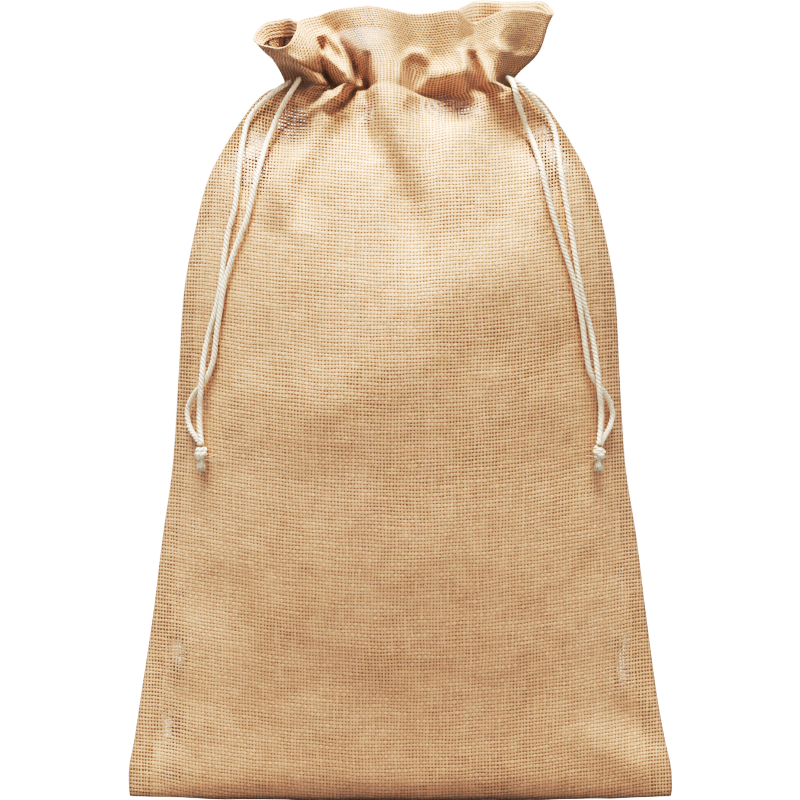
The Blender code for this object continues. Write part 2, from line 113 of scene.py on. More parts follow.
# Cords
CORD_DIAMETER = 0.003
PLIES = 3
PLY_RADIUS = 0.00078
PLY_LAY = 0.0070  # one turn of a ply
PLY_SIDES = 8
PLY_STEP = 0.0006
CORD_CLEARANCE = 0.0003
ROOM_WIDTH = 2.3  # of the trough that a cord lies in, in cord radii
CORD_SEAT = 0.0029  # of a cord's middle line, from the middle of the cloth it lies on
LAYING_FROM = -0.2  # from where in front a cord is set down on the cloth
LAYING_STEP = 0.00005

# A section of the body. left and right are its seams, front and back how far its faces stand out, and
# bow the half angle of each face's arc: a quarter turn is an oval, less is a lens with sharp sides.
Level = namedtuple("Level", "height left right front back bow")
LEVELS = (
    Level(0.0000, -0.1495, 0.1493, 0.024, 0.024, 0.45),
    Level(0.0040, -0.1500, 0.1500, 0.030, 0.030, 0.45),
    Level(0.0120, -0.1502, 0.1498, 0.034, 0.034, 0.45),
    Level(0.0315, -0.1470, 0.1460, 0.037, 0.037, 0.47),
    Level(0.0535, -0.1437, 0.1420, 0.041, 0.041, 0.54),
    Level(0.0975, -0.1371, 0.1360, 0.053, 0.053, 0.72),
    Level(0.1420, -0.1315, 0.1304, 0.063, 0.063, 0.82),
    Level(0.1860, -0.1255, 0.1238, 0.070, 0.070, 0.90),
    Level(0.2300, -0.1227, 0.1211, 0.0755, 0.0755, 0.94),
    Level(0.2740, -0.1200, 0.1189, 0.0765, 0.0770, 0.92),
    Level(0.3180, -0.1122, 0.1111, 0.0715, 0.0735, 0.96),
    Level(0.3403, -0.1062, 0.1045, 0.0662, 0.0690, 1.00),
    Level(0.3624, -0.0946, 0.0929, 0.0590, 0.0620, 1.08),
    Level(0.3734, -0.0874, 0.0858, 0.0545, 0.0565, 1.20),
    Level(0.3844, -0.0786, 0.0775, 0.0490, 0.0500, 1.40),
    Level(0.3900, -0.0703, 0.0692, 0.0450, 0.0450, 1.57),
    Level(0.3927, -0.0620, 0.0607, 0.0420, 0.0420, 1.57),
)

# The gathered neck, seen from above, from the left seam along the front and back along the rear. A row
# for each ridge or tuck of the cloth: its place, its height beside the neck's, and how far its fold
# reaches down the body.
Tuck = namedtuple("Tuck", "x y rise reach")
NECK_FRONT = (
    Tuck(-0.0620, 0.000, 0.000, 0.030),
    Tuck(-0.0530, -0.016, -0.001, 0.060),
    Tuck(-0.0400, -0.032, -0.003, 0.050),
    Tuck(-0.0345, -0.0270, -0.004, 0.060),
    Tuck(-0.0265, -0.0440, -0.004, 0.070),
    Tuck(-0.0185, -0.030, -0.005, 0.060),
    Tuck(-0.0100, -0.053, -0.005, 0.080),
    Tuck(-0.0005, -0.050, -0.006, 0.080),
    Tuck(0.0063, -0.036, -0.008, 0.060),
    Tuck(0.0130, -0.034, -0.010, 0.040),
    Tuck(0.0225, -0.028, -0.010, 0.035),
    Tuck(0.0335, -0.036, -0.008, 0.050),
    Tuck(0.0400, -0.028, -0.005, 0.060),
    Tuck(0.0480, -0.038, -0.003, 0.080),
    Tuck(0.0550, -0.019, -0.001, 0.060),
)
NECK_BACK = (
    Tuck(0.0607, 0.000, 0.000, 0.030),
    Tuck(0.0540, 0.018, 0.001, 0.050),
    Tuck(0.0440, 0.0355, 0.001, 0.060),
    Tuck(0.0360, 0.0290, 0.001, 0.080),
    Tuck(0.0270, 0.043, 0.000, 0.060),
    Tuck(0.0190, 0.030, 0.000, 0.060),
    Tuck(0.0080, 0.046, 0.000, 0.070),
    Tuck(-0.0010, 0.031, 0.000, 0.090),
    Tuck(-0.0110, 0.045, 0.000, 0.060),
    Tuck(-0.0190, 0.030, 0.000, 0.060),
    Tuck(-0.0290, 0.042, 0.000, 0.060),
    Tuck(-0.0365, 0.0290, 0.001, 0.080),
    Tuck(-0.0450, 0.0355, 0.001, 0.060),
    Tuck(-0.0550, 0.018, 0.001, 0.050),
)

# The rim of the ruffle, in the same order. A row for each crest or dip of the edge.
Turn = namedtuple("Turn", "x y z")
RIM_FRONT = (
    Turn(-0.0645, -0.004, 0.4278),
    Turn(-0.0747, -0.008, 0.4244),
    Turn(-0.0789, -0.015, 0.4169),
    Turn(-0.0733, -0.026, 0.4108),
    Turn(-0.0663, -0.034, 0.4085),
    Turn(-0.0595, -0.044, 0.4101),
    Turn(-0.0558, -0.040, 0.4175),
    Turn(-0.0545, -0.030, 0.4241),
    Turn(-0.0447, -0.026, 0.4272),
    Turn(-0.0354, -0.032, 0.4296),
    Turn(-0.0260, -0.038, 0.4303),
    Turn(-0.0158, -0.042, 0.4307),
    Turn(-0.0045, -0.041, 0.4287),
    Turn(0.0062, -0.036, 0.4271),
    Turn(0.0169, -0.035, 0.4276),
    Turn(0.0254, -0.035, 0.4290),
    Turn(0.0302, -0.036, 0.4290),
    Turn(0.0353, -0.031, 0.4251),
    Turn(0.0403, -0.026, 0.4233),
    Turn(0.0472, -0.029, 0.4261),
    Turn(0.0562, -0.028, 0.4297),
    Turn(0.0671, -0.020, 0.4313),
    Turn(0.0768, -0.012, 0.4312),
    Turn(0.0841, -0.006, 0.4306),
)
RIM_BACK = (
    Turn(0.0816, -0.001, 0.4354),
    Turn(0.0722, 0.020, 0.4399),
    Turn(0.0587, 0.040, 0.4427),
    Turn(0.0449, 0.034, 0.4426),
    Turn(0.0348, 0.050, 0.4406),
    Turn(0.0220, 0.060, 0.4330),
    Turn(0.0110, 0.044, 0.4280),
    Turn(0.0000, 0.058, 0.4190),
    Turn(-0.0110, 0.062, 0.4120),
    Turn(-0.0200, 0.046, 0.4100),
    Turn(-0.0310, 0.054, 0.4160),
    Turn(-0.0420, 0.044, 0.4220),
    Turn(-0.0480, 0.026, 0.4260),
    Turn(-0.0590, 0.016, 0.4290),
)

# Soft folds of the body, each a straight run of a trough, or of a ridge where its depth is negative.
# side is -1 on the front and 1 on the back. They fade at both ends.
Fold = namedtuple("Fold", "side from_x from_z to_x to_z width depth")
FOLDS = (
    Fold(-1, -0.013, 0.398, 0.014, 0.272, 0.010, 0.0045),  # from the middle of the neck
    Fold(-1, -0.058, 0.388, -0.078, 0.335, 0.010, 0.0060),  # hollow of the left shoulder
    Fold(-1, 0.058, 0.388, 0.080, 0.340, 0.010, 0.0050),  # hollow of the right shoulder
    Fold(-1, 0.040, 0.386, 0.058, 0.300, 0.011, 0.0035),
    Fold(-1, -0.026, 0.398, -0.056, 0.305, 0.009, 0.0025),
    Fold(-1, 0.092, 0.043, 0.142, 0.007, 0.008, -0.0024),  # ridge to the right corner
    Fold(-1, 0.108, 0.060, 0.146, 0.022, 0.008, 0.0028),
    Fold(-1, -0.116, 0.070, -0.139, 0.010, 0.009, 0.0030),  # towards the left corner
    Fold(1, 0.004, 0.384, -0.008, 0.290, 0.010, 0.0055),
    Fold(1, 0.046, 0.386, 0.068, 0.318, 0.010, 0.0045),
    Fold(1, -0.044, 0.386, -0.066, 0.310, 0.011, 0.0045),
    Fold(1, -0.098, 0.060, -0.138, 0.012, 0.009, -0.0040),
    Fold(1, 0.104, 0.066, 0.140, 0.012, 0.009, 0.0035),
)

# Soft pushes that fill the ruffle out: round a centre, fading over the reach, all in millimetres.
Push = namedtuple("Push", "x y z reach by_x by_y by_z")
PUSHES = (
    Push(-70, -8, 405, 13, -7.0, -1.5, -2.0),  # under the left flare
    Push(-52, -34, 403, 11, -2.0, -5.0, -1.5),
    Push(74, -8, 410, 14, 5.0, -1.0, -3.0),  # under the right flare
    Push(62, -34, 407, 10, 2.0, -4.0, -1.5),
    Push(-66, -32, 368, 15, 3.0, 9.0, 0.0),  # the hollows of the shoulders
    Push(70, -32, 366, 15, -3.0, 9.0, 0.0),
)

# Creases, on the front (-1) or the back (1): places across and up in millimetres as they show, how wide
# and how high the crease is (a trough is below 0), and lean, which raises the cloth on the left of the
# crease's run and lowers it on the right.
Crease = namedtuple("Crease", "side points width height lean")
CREASES = (
    # The left flare and the fold that runs from its lip to the neck
    Crease(-1, (
        (-80, 413), (-72, 410.5), (-63, 406.5), (-55, 401.5), (-46, 395), (-37, 388),
    ), 4.2, 9, 0),
    Crease(-1, (
        (-44, 419), (-43.5, 411), (-43.4, 405), (-41, 399), (-38, 392), (-36.5, 387),
    ), 2.1, -13, 0),
    Crease(-1, ((-70, 402), (-60, 397), (-52, 392), (-44, 387)), 4.5, -7, 0),
    # The ridge that curls from the ruffle over the neck and down the left shoulder
    Crease(-1, (
        (-43, 423), (-38.9, 418.7), (-32.2, 411), (-29, 403.5), (-28.4, 396.6), (-30.6, 390.8),
        (-35.5, 386.4), (-42, 382.6), (-48.5, 379), (-55, 372),
    ), 3.0, 9, 0),
    Crease(-1, (
        (-33, 417), (-27.6, 410), (-25, 402), (-24.5, 394), (-27.5, 386.5), (-34, 381), (-42, 377),
    ), 2.1, -8, 0),
    Crease(-1, ((-46, 386), (-53, 375), (-57, 360), (-61, 338), (-63, 312)), 8, 0.5, -4.0),
    # The middle of the neck
    Crease(-1, (
        (-35, 423), (-27, 412), (-21.8, 402), (-21, 393), (-23.4, 384.5), (-31, 375),
    ), 4.0, 4.8, 0),
    Crease(-1, ((-19, 411), (-18.6, 400), (-18.4, 391), (-18.4, 382)), 2.1, -6.5, 0),
    Crease(-1, ((-18.5, 388), (-19, 378), (-18, 366), (-15, 350)), 4.5, -4, 0),
    Crease(-1, ((-1.5, 416), (-6, 404), (-8, 393), (-6, 379), (0, 355), (5, 330)), 7, 4.5, 0),
    # The fold that is tucked in beside it
    Crease(-1, (
        (-1, 392), (-0.5, 400), (1.5, 406.5), (6, 410), (12, 409.5), (16, 404), (15, 396), (9, 389),
        (4, 385),
    ), 2.6, 3.5, 0),
    Crease(-1, ((10, 407), (8, 401), (7.5, 395), (8.5, 389)), 2.6, 1.0, 0),
    Crease(-1, ((15, 400), (23, 397), (32, 398), (43, 402)), 7.5, 14, 0),
    Crease(-1, ((2, 384), (14, 378.5), (32, 379.5), (47, 384)), 6.5, -9, 0),
    # The right of the neck
    Crease(-1, ((33.5, 413), (35.6, 401), (36.7, 389)), 3.2, 7.2, 0),
    Crease(-1, ((39.4, 411), (41.6, 400), (43.9, 387)), 2.4, -4.5, 0),
    Crease(-1, ((49, 412), (52, 400), (56, 388), (62, 374)), 3, -3, 0),
    Crease(-1, ((56, 389), (63, 375), (70, 357), (76, 330), (80, 302)), 8, 0.5, 3.5),
    # The right flare
    Crease(-1, ((55, 421), (61, 416), (69, 414)), 5.5, -2, 0),
    Crease(-1, ((52, 418), (56, 412), (63, 408), (72, 408), (79, 412)), 2.6, 3.6, 0),
    Crease(-1, ((36, 418), (41, 410), (47, 400), (53, 390), (60, 376)), 3.4, 5.5, 0),
    # Long soft folds down the front
    Crease(-1, (
        (-20, 395), (-15, 370), (-8, 354), (0, 341), (5, 327), (10, 300), (13, 270),
    ), 9.5, -3.2, 1.0),
    Crease(-1, ((-60, 388), (-70, 368), (-80, 345), (-86, 325)), 9.0, -7.0, 0),
    Crease(-1, ((-44, 386), (-55, 362), (-61, 335), (-62, 310)), 7.0, 3.0, 0),
    Crease(-1, ((60, 388), (72, 368), (84, 345), (90, 325)), 9.0, -6.5, 0),
    Crease(-1, ((54, 387), (64, 367), (74, 340), (80, 312)), 7.0, 2.5, 0),
    Crease(-1, (
        (106, 318), (91, 310), (66, 295), (44, 285), (22, 271), (0, 249), (-28, 219), (-61, 205),
        (-97, 202), (-120, 204),
    ), 28.0, 3.2, 0),
    Crease(-1, ((-128, 102), (-106, 107), (-82, 112)), 20.0, -2.0, 0),
    Crease(-1, ((1, 390), (5, 373), (10, 356), (15, 329)), 8.0, 1.5, 0),
    Crease(-1, ((-35.5, 382), (-38, 362), (-40, 329)), 13.0, 2.0, 0),
    Crease(-1, ((44, 378), (54, 340), (61, 306)), 9.0, -1.5, 0),
    # The back
    Crease(1, ((-44, 416), (-38, 404), (-33, 394), (-31, 384)), 3.2, 5.6, 0),
    Crease(1, ((-50, 411), (-45, 402), (-41, 390)), 2.4, -7, 0),
    Crease(1, ((-22, 412), (-20, 401), (-20, 390), (-24, 376)), 2.6, -7, 0),
    Crease(1, ((-12, 408), (-10, 397), (-9, 384), (-14, 366)), 5, 5.6, 0),
    Crease(1, ((4, 412), (2, 400), (3, 388)), 2.4, -7.7, 0),
    Crease(1, ((14, 414), (12, 402), (15, 389), (22, 374)), 4, 6.3, 0),
    Crease(1, ((27, 416), (26, 404), (29, 391)), 2.6, -7, 0),
    Crease(1, ((42, 418), (38, 405), (40, 392), (48, 377), (54, 358)), 4, 5.6, 0),
    Crease(1, ((-46, 388), (-56, 372), (-64, 345), (-66, 316)), 8, 0.5, -3.5),
    Crease(1, ((-3, 388), (-8, 366), (-6, 340), (2, 306)), 8, -3, 1.0),
    Crease(1, ((30, 384), (38, 352), (41, 318)), 10, -2, 0),
)

# Where the weave is looser, so that more of its pinholes show their painted shade, and where light passes
# through both faces: centre and reach, in millimetres, and how loose and how clear it is there, from 0 to
# 1.
Opening = namedtuple("Opening", "x z reach_x reach_z loose clear")
OPENINGS = (
    Opening(0, 405, 100, 32, 0.60, 0.0),  # the neck and the ruffle
    Opening(0, 350, 130, 48, 0.32, 0.0),  # the shoulders and the upper belly
    Opening(0, 240, 170, 90, 0.18, 0.0),
    # Loose with no light through: the painted shade in its pinholes darkens the shoulder
    Opening(-84, 370, 20, 28, 1.0, 0.0),  # left shoulder
    Opening(-82, 350, 14, 19, 1.0, 1.0),
    Opening(-60, 371, 12, 13, 1.0, 1.0),
    # Loose with no light through: the painted shade in its pinholes darkens the shoulder
    Opening(85, 366, 16, 26, 1.0, 0.0),  # right shoulder
    Opening(82, 352, 14, 20, 1.0, 1.0),
    Opening(-22, 421, 14, 8, 0.75, 0.65),  # below the hem
    Opening(-19, 378, 6, 10, 1.0, 0.8),
    # Loose with no light through: the painted shade in its pinholes darkens it below the ruffle
    Opening(26, 384, 22, 9, 0.9, 0.0),  # under the ruffle
    Opening(26, 379, 25, 7, 1.0, 0.9),
    Opening(-122, 112, 3, 3, 0.8, 0.6),
    Opening(-123, 79, 5, 17, 0.7, 0.6),  # low on the left
    Opening(-126, 38, 8, 14, 0.7, 0.6),
    Opening(-127, 13, 7, 4, 0.7, 0.6),
    Opening(121, 123, 3, 5, 0.7, 0.6),  # low on the right
    Opening(122, 75, 5, 18, 0.7, 0.6),
)

# The cords' middle lines, from where they leave the neck down to their knots: how far across, how high,
# and how far each is lifted off the cloth. The inner cord of each side passes behind the outer one
# shortly before the knot.
ROUTES = {
    "cord_left_inner": (
        (-0.0548, 0.3938, 0.0000),
        (-0.0567, 0.3905, 0.0000),
        (-0.0597, 0.3856, 0.0000),
        (-0.0638, 0.3792, 0.0000),
        (-0.0672, 0.3731, 0.0000),
        (-0.0699, 0.3661, 0.0000),
        (-0.0727, 0.3592, 0.0000),
        (-0.0750, 0.3501, 0.0000),
        (-0.0774, 0.3398, 0.0000),
        (-0.0786, 0.3334, 0.0000),
        (-0.0801, 0.3269, 0.0000),
        (-0.0826, 0.3167, 0.0000),
        (-0.0873, 0.3049, 0.0000),
        (-0.0918, 0.2923, 0.0000),
        (-0.0949, 0.2821, 0.0000),
        (-0.0973, 0.2686, 0.0000),
        (-0.0996, 0.2535, 0.0000),
        (-0.1018, 0.2385, 0.0000),
        (-0.1059, 0.2293, 0.0000),
        (-0.1120, 0.2224, 0.0000),
        (-0.1160, 0.2146, 0.0000),
        (-0.1160, 0.2079, 0.0000),
        (-0.1138, 0.2020, 0.0000),
        (-0.1108, 0.1980, 0.0004),
        (-0.1087, 0.1948, 0.0010),
    ),
    "cord_left_outer": (
        (-0.0605, 0.3932, 0.0000),
        (-0.0640, 0.3904, 0.0000),
        (-0.0690, 0.3872, 0.0000),
        (-0.0742, 0.3830, 0.0000),
        (-0.0796, 0.3776, 0.0000),
        (-0.0833, 0.3718, 0.0000),
        (-0.0857, 0.3616, 0.0000),
        (-0.0871, 0.3506, 0.0000),
        (-0.0882, 0.3365, 0.0000),
        (-0.0897, 0.3226, 0.0000),
        (-0.0933, 0.3090, 0.0000),
        (-0.0954, 0.2952, 0.0000),
        (-0.0972, 0.2815, 0.0000),
        (-0.1002, 0.2671, 0.0000),
        (-0.1042, 0.2535, 0.0006),
        (-0.1067, 0.2406, 0.0022),
        (-0.1077, 0.2314, 0.0032),
        (-0.1083, 0.2233, 0.0032),
        (-0.1090, 0.2147, 0.0020),
        (-0.1089, 0.2041, 0.0024),
        (-0.1078, 0.1948, 0.0032),
    ),
    "cord_right_inner": (
        (0.0581, 0.3943, 0.0004),
        (0.0595, 0.3929, 0.0004),
        (0.0618, 0.3864, 0.0003),
        (0.0637, 0.3791, 0.0000),
        (0.0662, 0.3736, 0.0000),
        (0.0684, 0.3674, 0.0000),
        (0.0710, 0.3612, 0.0000),
        (0.0732, 0.3542, 0.0000),
        (0.0767, 0.3409, 0.0000),
        (0.0783, 0.3334, 0.0000),
        (0.0805, 0.3243, 0.0000),
        (0.0855, 0.3080, 0.0000),
        (0.0905, 0.2930, 0.0000),
        (0.0935, 0.2836, 0.0000),
        (0.0963, 0.2715, 0.0000),
        (0.0988, 0.2572, 0.0000),
        (0.1006, 0.2441, 0.0000),
        (0.1030, 0.2335, 0.0000),
        (0.1098, 0.2245, 0.0000),
        (0.1144, 0.2175, 0.0000),
        (0.1158, 0.2114, 0.0000),
        (0.1146, 0.2054, 0.0000),
        (0.1114, 0.1998, 0.0000),
        (0.1084, 0.1948, 0.0010),
    ),
    "cord_right_outer": (
        (0.0603, 0.3942, 0.0000),
        (0.0642, 0.3915, 0.0000),
        (0.0697, 0.3866, 0.0000),
        (0.0747, 0.3813, 0.0000),
        (0.0792, 0.3763, 0.0000),
        (0.0831, 0.3691, 0.0000),
        (0.0855, 0.3562, 0.0000),
        (0.0870, 0.3422, 0.0000),
        (0.0896, 0.3261, 0.0000),
        (0.0920, 0.3117, 0.0000),
        (0.0945, 0.2966, 0.0000),
        (0.0966, 0.2837, 0.0000),
        (0.0992, 0.2716, 0.0000),
        (0.1029, 0.2573, 0.0005),
        (0.1056, 0.2435, 0.0022),
        (0.1071, 0.2325, 0.0032),
        (0.1080, 0.2228, 0.0032),
        (0.1089, 0.2136, 0.0022),
        (0.1086, 0.2038, 0.0024),
        (0.1074, 0.1948, 0.0032),
    ),
}

KNOTS = {
    "knot_left": (-0.1082, 0.1940, 0.0022),
    "knot_right": (0.1078, 0.1940, 0.0022),
}

# Weave. A yarn's width is in pitches and its heights are shares of the relief. Each of its effects reads
# the noise at a layer of its own, counted on from the yarn's.
Yarn = namedtuple("Yarn", "name layer half_width base roundness lift")
WARP = Yarn("Warp", 1, 0.36, 0.26, 0.38, 0.14)
WEFT = Yarn("Weft", 2, 0.40, 0.29, 0.43, 0.25)
WANDER_LAYER, JOG_LAYER, SLUB_LAYER, STREAK_LAYER, TONE_LAYER = 0, 2, 4, 6, 8
EDGE_SOFTNESS = 0.035
WANDER = 0.6
WANDER_SCALE = 28.0
WANDER_REACH = 2.2  # pitches
JOG_SCALE = 320.0
JOG_STRETCH = 0.25
SLUB_LENGTHS = 140.0  # thick and thin places of a yarn, a metre
SLUB_DEPTH = 0.85
SLUB_APART = 5.17  # between the places in the noise of neighbouring yarns
OPEN_THINNING = 0.42
STREAK_LENGTHS = 260.0
STREAK_WIDTHS = 14.0  # fibres seen across a yarn
STREAK_HEIGHT = 0.32
TWIST_SLANT = 1500.0
TONE_LENGTHS = 60.0
TONE_APART = 9.31
WEAVE_RELIEF = 0.0004
HOLE_CLEARNESS = 0.03  # of the pinholes where the weave is closed
# Along the side seams the holes pass no light and show only painted shade
SEAM_OPENING = 0.42  # how open the weave is along the side seams
SEAM_EDGE = 0.0005
PATCH_SCALE = 26.0
PATCH_OPENING = 0.3

# Colours, linear, and finishes. A pair called EDGES is where a mask begins and where it is full.
YARN_PALE = (0.84, 0.60, 0.448)
YARN_DEEP = (0.75, 0.51, 0.368)
# Painted shade between the yarns, below their crowns, paler or deeper with each yarn's tone
GAP_SHADE_PALE = (0.68, 0.462, 0.308)
GAP_SHADE_DEEP = (0.585, 0.375, 0.232)
# Painted shade of what lies behind the pinholes, where little light passes them
PINHOLE_SHADE = (0.24, 0.13, 0.06)
FLECK = (0.36, 0.19, 0.085)
FLECK_STRENGTH = 0.35
PATCH_TINT = (0.93, 0.90, 0.86)
PATCH_STRENGTH = 0.5
TONE_EDGES = (0.3, 0.7)
FLECK_EDGES = (0.62, 0.8)
PATCH_EDGES = (0.3, 0.75)
LOOSE_EDGES = (0.45, 0.8)
CROWN_EDGES = (0.24, 0.88)
BURLAP_ROUGHNESS = 0.75
CROWN_ROUGHNESS = 0.55
BURLAP_SHEEN = 0.15
BURLAP_SHEEN_TINT = (1.0, 0.93, 0.84)
COTTON_PALE = (0.90, 0.86, 0.77)
# Painted shade in the grooves between the fibres, where their relief is low
COTTON_GROOVE_SHADE = (0.78, 0.71, 0.60)
COTTON_SPOT = (0.62, 0.52, 0.40)
SPOT_SCALE = 420.0
SPOT_EDGES = (0.55, 0.75)
SPOT_STRENGTH = 0.35
COTTON_STRANDS = 9.0  # fibres seen round a ply
COTTON_SLANT = 900.0
COTTON_LENGTHS = 260.0
COTTON_ROUGHNESS = 0.8
COTTON_SHEEN = 0.15
COTTON_RELIEF = 0.00015
FIBRE_PALE = (0.86, 0.68, 0.47)
FIBRE_DEEP = (0.55, 0.36, 0.20)
FIBRE_TONES = 90.0
FIBRE_ROUGHNESS = 0.6

# Twist and knots
TWIST = -1  # which way the plies turn
PLY_THICKNESS = 0.00165
WRAP_POINTS = 90
WRAP_TURNS = 2.3
WRAP_START = 2.2
WRAP_RADIUS = 0.00215
WRAP_TAPER = 0.30
WRAP_TOP = 0.0014
WRAP_DROP = 0.0046
WRAP_FOOT = WRAP_TOP + WRAP_DROP
CORE_RADIUS = 0.0017
CORE_DEPTHS = (0.0004, 0.003, WRAP_FOOT + 0.0008)
KNOT_LEANS = {"knot_left": 0.35, "knot_right": -0.35}
KNOT_SEEDS = {"knot_left": 5, "knot_right": 8}
TUFT_ROOT = 0.0016
TUFT_SPREAD = (1.3, 2.1)
TUFT_LENGTH = (0.0055, 0.0080)
TUFT_STRAY = 0.0003
TUFT_BEND = 0.0012
TUFT_POINTS = 6
TUFT_STRANDS = 110
TUFT_TAPER = 0.6
STRAND_THICKNESS = (0.00022, 0.00042)
STRAND_SIDES = 4
Stray = namedtuple("Stray", "knot start middle end")
STRAYS = (
    Stray("knot_left", (1.2, -1.6, -6.5), (3.5, -2.2, -6.0), (10.5, -1.5, -4.0)),
    Stray("knot_left", (1.0, -1.8, -6.8), (3.0, -2.6, -7.4), (8.0, -2.2, -7.6)),
    Stray("knot_right", (-1.2, -1.6, -6.3), (-3.0, -2.3, -5.8), (-7.0, -1.8, -5.0)),
    Stray("knot_right", (-0.8, -1.8, -6.8), (-2.6, -2.5, -7.8), (-5.4, -2.0, -8.0)),
)
STRAY_POINTS = 8
STRAY_THICKNESS = 0.00022

# Loose fibres
FIBRE_SIZES = {
    "Number per m2": 4500.0,
    "Thickness of its length": 0.009,
    "Shortest": 0.0025,
    "Longest": 0.0065,
}
FIBRE_SEED = 4
FIBRE_PIECES = 5
FIBRE_BEND = ((0.0, 0.0, -0.05), (0.35, 0.05, 0.22), (1.0, -0.1, 0.16))
FIBRE_TILT = 0.35

# Stage
RESPONSE = (
    (0.05, 0.03), (0.10, 0.085), (0.156, 0.19), (0.23, 0.39), (0.3125, 0.57), (0.45, 0.75),
    (0.625, 0.875), (0.80, 0.95),
)  # fmt: skip
FOCAL_PIXELS = 3263.0
FRAME_PIXELS = 800
SENSOR = 36.0
FLOOR_REACH = 6.0
FLOOR_COLOUR = (0.3, 0.3, 0.3)
FLOOR_ROUGHNESS = 0.9
FLOOR_GLOW = 1.05
SURROUND_COLOUR = (1.0, 0.97, 0.93)
SURROUND_LIGHT = 0.21
Light = namedtuple("Light", "name place aim size power colour")
LIGHTS = (
    Light("key", (-0.12, -0.55, 2.2), (0, 0, 0.25), (1.3, 1.3), 49, (1.0, 0.99, 0.97)),
    Light("fill", (0.2, -2.1, 0.5), (0, 0, 0.2), (1.2, 1.2), 6.5, (1.0, 0.96, 0.92)),
    Light("rear", (0.0, 2.1, 0.6), (0, 0, 0.22), (1.6, 1.2), 20, (1.0, 0.97, 0.94)),
)

# ---------------------------------------------------------------- pieces


def add_object(name, data):
    piece = bpy.data.objects.new(name, data)
    bpy.context.scene.collection.objects.link(piece)
    return piece


def add_piece(name, mesh, finish):
    mesh.materials.clear()
    mesh.materials.append(finish)
    piece = add_object(name, mesh)
    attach(piece, "root")
    return piece


def mapped_mesh(name, points, faces, flat):
    """A mesh of these points and faces, with each point's place on the flat piece as its UV map."""
    mesh = bpy.data.meshes.new(name)
    mesh.from_pydata(points.tolist(), [], faces)
    corners = np.empty(len(mesh.loops), np.int32)
    mesh.loops.foreach_get("vertex_index", corners)
    mesh.uv_layers.new(name=FLAT_MAP).data.foreach_set("uv", flat[corners].ravel())
    return mesh


# ---------------------------------------------------------------- curves


def eased(start, leaving, end, arriving, share):
    """A place this share of the way along a curve, given its ends and its slopes there."""
    low = start * (1 + 2 * share) + leaving * share
    high = end * (3 - 2 * share) - arriving * (1 - share)
    return low * (1 - share) ** 2 + high * share**2


def far_along(line):
    """How far along a line each of its points is."""
    return np.concatenate([[0], np.cumsum(np.linalg.norm(np.diff(line, axis=0), axis=1))])


def smooth(known, values, wanted):
    """A curve through the known points that adds no bump of its own, read at the wanted places."""
    known, values = np.asarray(known, float), np.asarray(values, float)
    step = np.diff(known)
    slope = np.diff(values) / step
    before, after = slope[:-1], slope[1:]
    same_way = before * after > 0
    middle = np.where(same_way, 2 * before * after / np.where(same_way, before + after, 1), 0)
    tangent = np.concatenate([slope[:1], middle, slope[-1:]])
    i = np.clip(np.searchsorted(known, wanted, side="right") - 1, 0, len(step) - 1)
    share = np.clip((wanted - known[i]) / step[i], 0, 1)
    return eased(values[i], tangent[i] * step[i], values[i + 1], tangent[i + 1] * step[i], share)


def closed_loop(points, places, wanted):
    """A smooth closed curve through points at these shares of the way round, read at the wanted ones."""
    points = np.asarray(points, float)
    before, after = np.roll(points, 1, axis=0), np.roll(points, -1, axis=0)
    run_after = (np.roll(places, -1) - places) % 1
    run_before = np.roll(run_after, 1)
    slope_after = (after - points) / run_after[:, None]
    slope_before = (points - before) / run_before[:, None]
    weight = (run_before / (run_before + run_after))[:, None]
    tangent = slope_before * (1 - weight) + slope_after * weight
    i = np.searchsorted(places, wanted % 1, side="right") - 1
    j = (i + 1) % len(points)
    run = run_after[i][:, None]
    share = ((wanted % 1 - places[i]) / run_after[i])[:, None]
    return eased(points[i], tangent[i] * run, points[j], tangent[j] * run, share)


def line_through(points, step):
    """A smooth line through these points, as points about this far apart."""
    points = np.asarray(points, float)
    places = far_along(points)
    gaps = np.linalg.norm(np.diff(points, axis=0), axis=1)
    slopes = np.diff(points, axis=0) / gaps[:, None]
    weight = (gaps[:-1] / (gaps[:-1] + gaps[1:]))[:, None]
    middle = slopes[:-1] * (1 - weight) + slopes[1:] * weight
    tangents = np.concatenate([slopes[:1], middle, slopes[-1:]])
    wanted = np.linspace(0, places[-1], round(places[-1] / step) + 1)
    i = np.clip(np.searchsorted(places, wanted, side="right") - 1, 0, len(gaps) - 1)
    run = gaps[i][:, None]
    share = (wanted - places[i])[:, None] / run
    return eased(points[i], tangents[i] * run, points[i + 1], tangents[i + 1] * run, share)


# ---------------------------------------------------------------- shape of the cloth


def shares_by_distance(front, back):
    """The share of the way round of each point: the front takes the first half, the back the second."""
    points = np.asarray([*front, *back], float)
    gaps = np.linalg.norm(np.roll(points, -1, axis=0) - points, axis=1)
    n = len(front)
    first = np.concatenate([[0], np.cumsum(gaps[:n])])
    second = np.concatenate([[0], np.cumsum(gaps[n:])])
    return np.concatenate([first[:-1] / first[-1] / 2, 0.5 + second[:-1] / second[-1] / 2])


def body_section(height, shares):
    """The smooth outline of the body at this height, with no folds: x and y for each share."""
    column = np.array(LEVELS).T
    left, right, front, back, bow = (smooth(column[0], values, height) for values in column[1:])
    on_front = shares <= 0.5
    along = np.where(on_front, 2 * shares, 2 - 2 * shares)
    angle = bow * (2 * along - 1)
    x = (left + right) / 2 + (right - left) / 2 * np.sin(angle) / math.sin(bow)
    arch = (np.cos(angle) - math.cos(bow)) / (1 - math.cos(bow))
    from_seam = np.minimum(along, 1 - along) * CUT_WIDTH
    edge = SIDE_EDGE * np.sqrt(1 - (1 - np.clip(from_seam / SIDE_EDGE_RUN, 0, 1)) ** 2)
    y = np.where(on_front, -front, back) * arch + np.where(on_front, -edge, edge)
    return np.stack([x, y], axis=1)


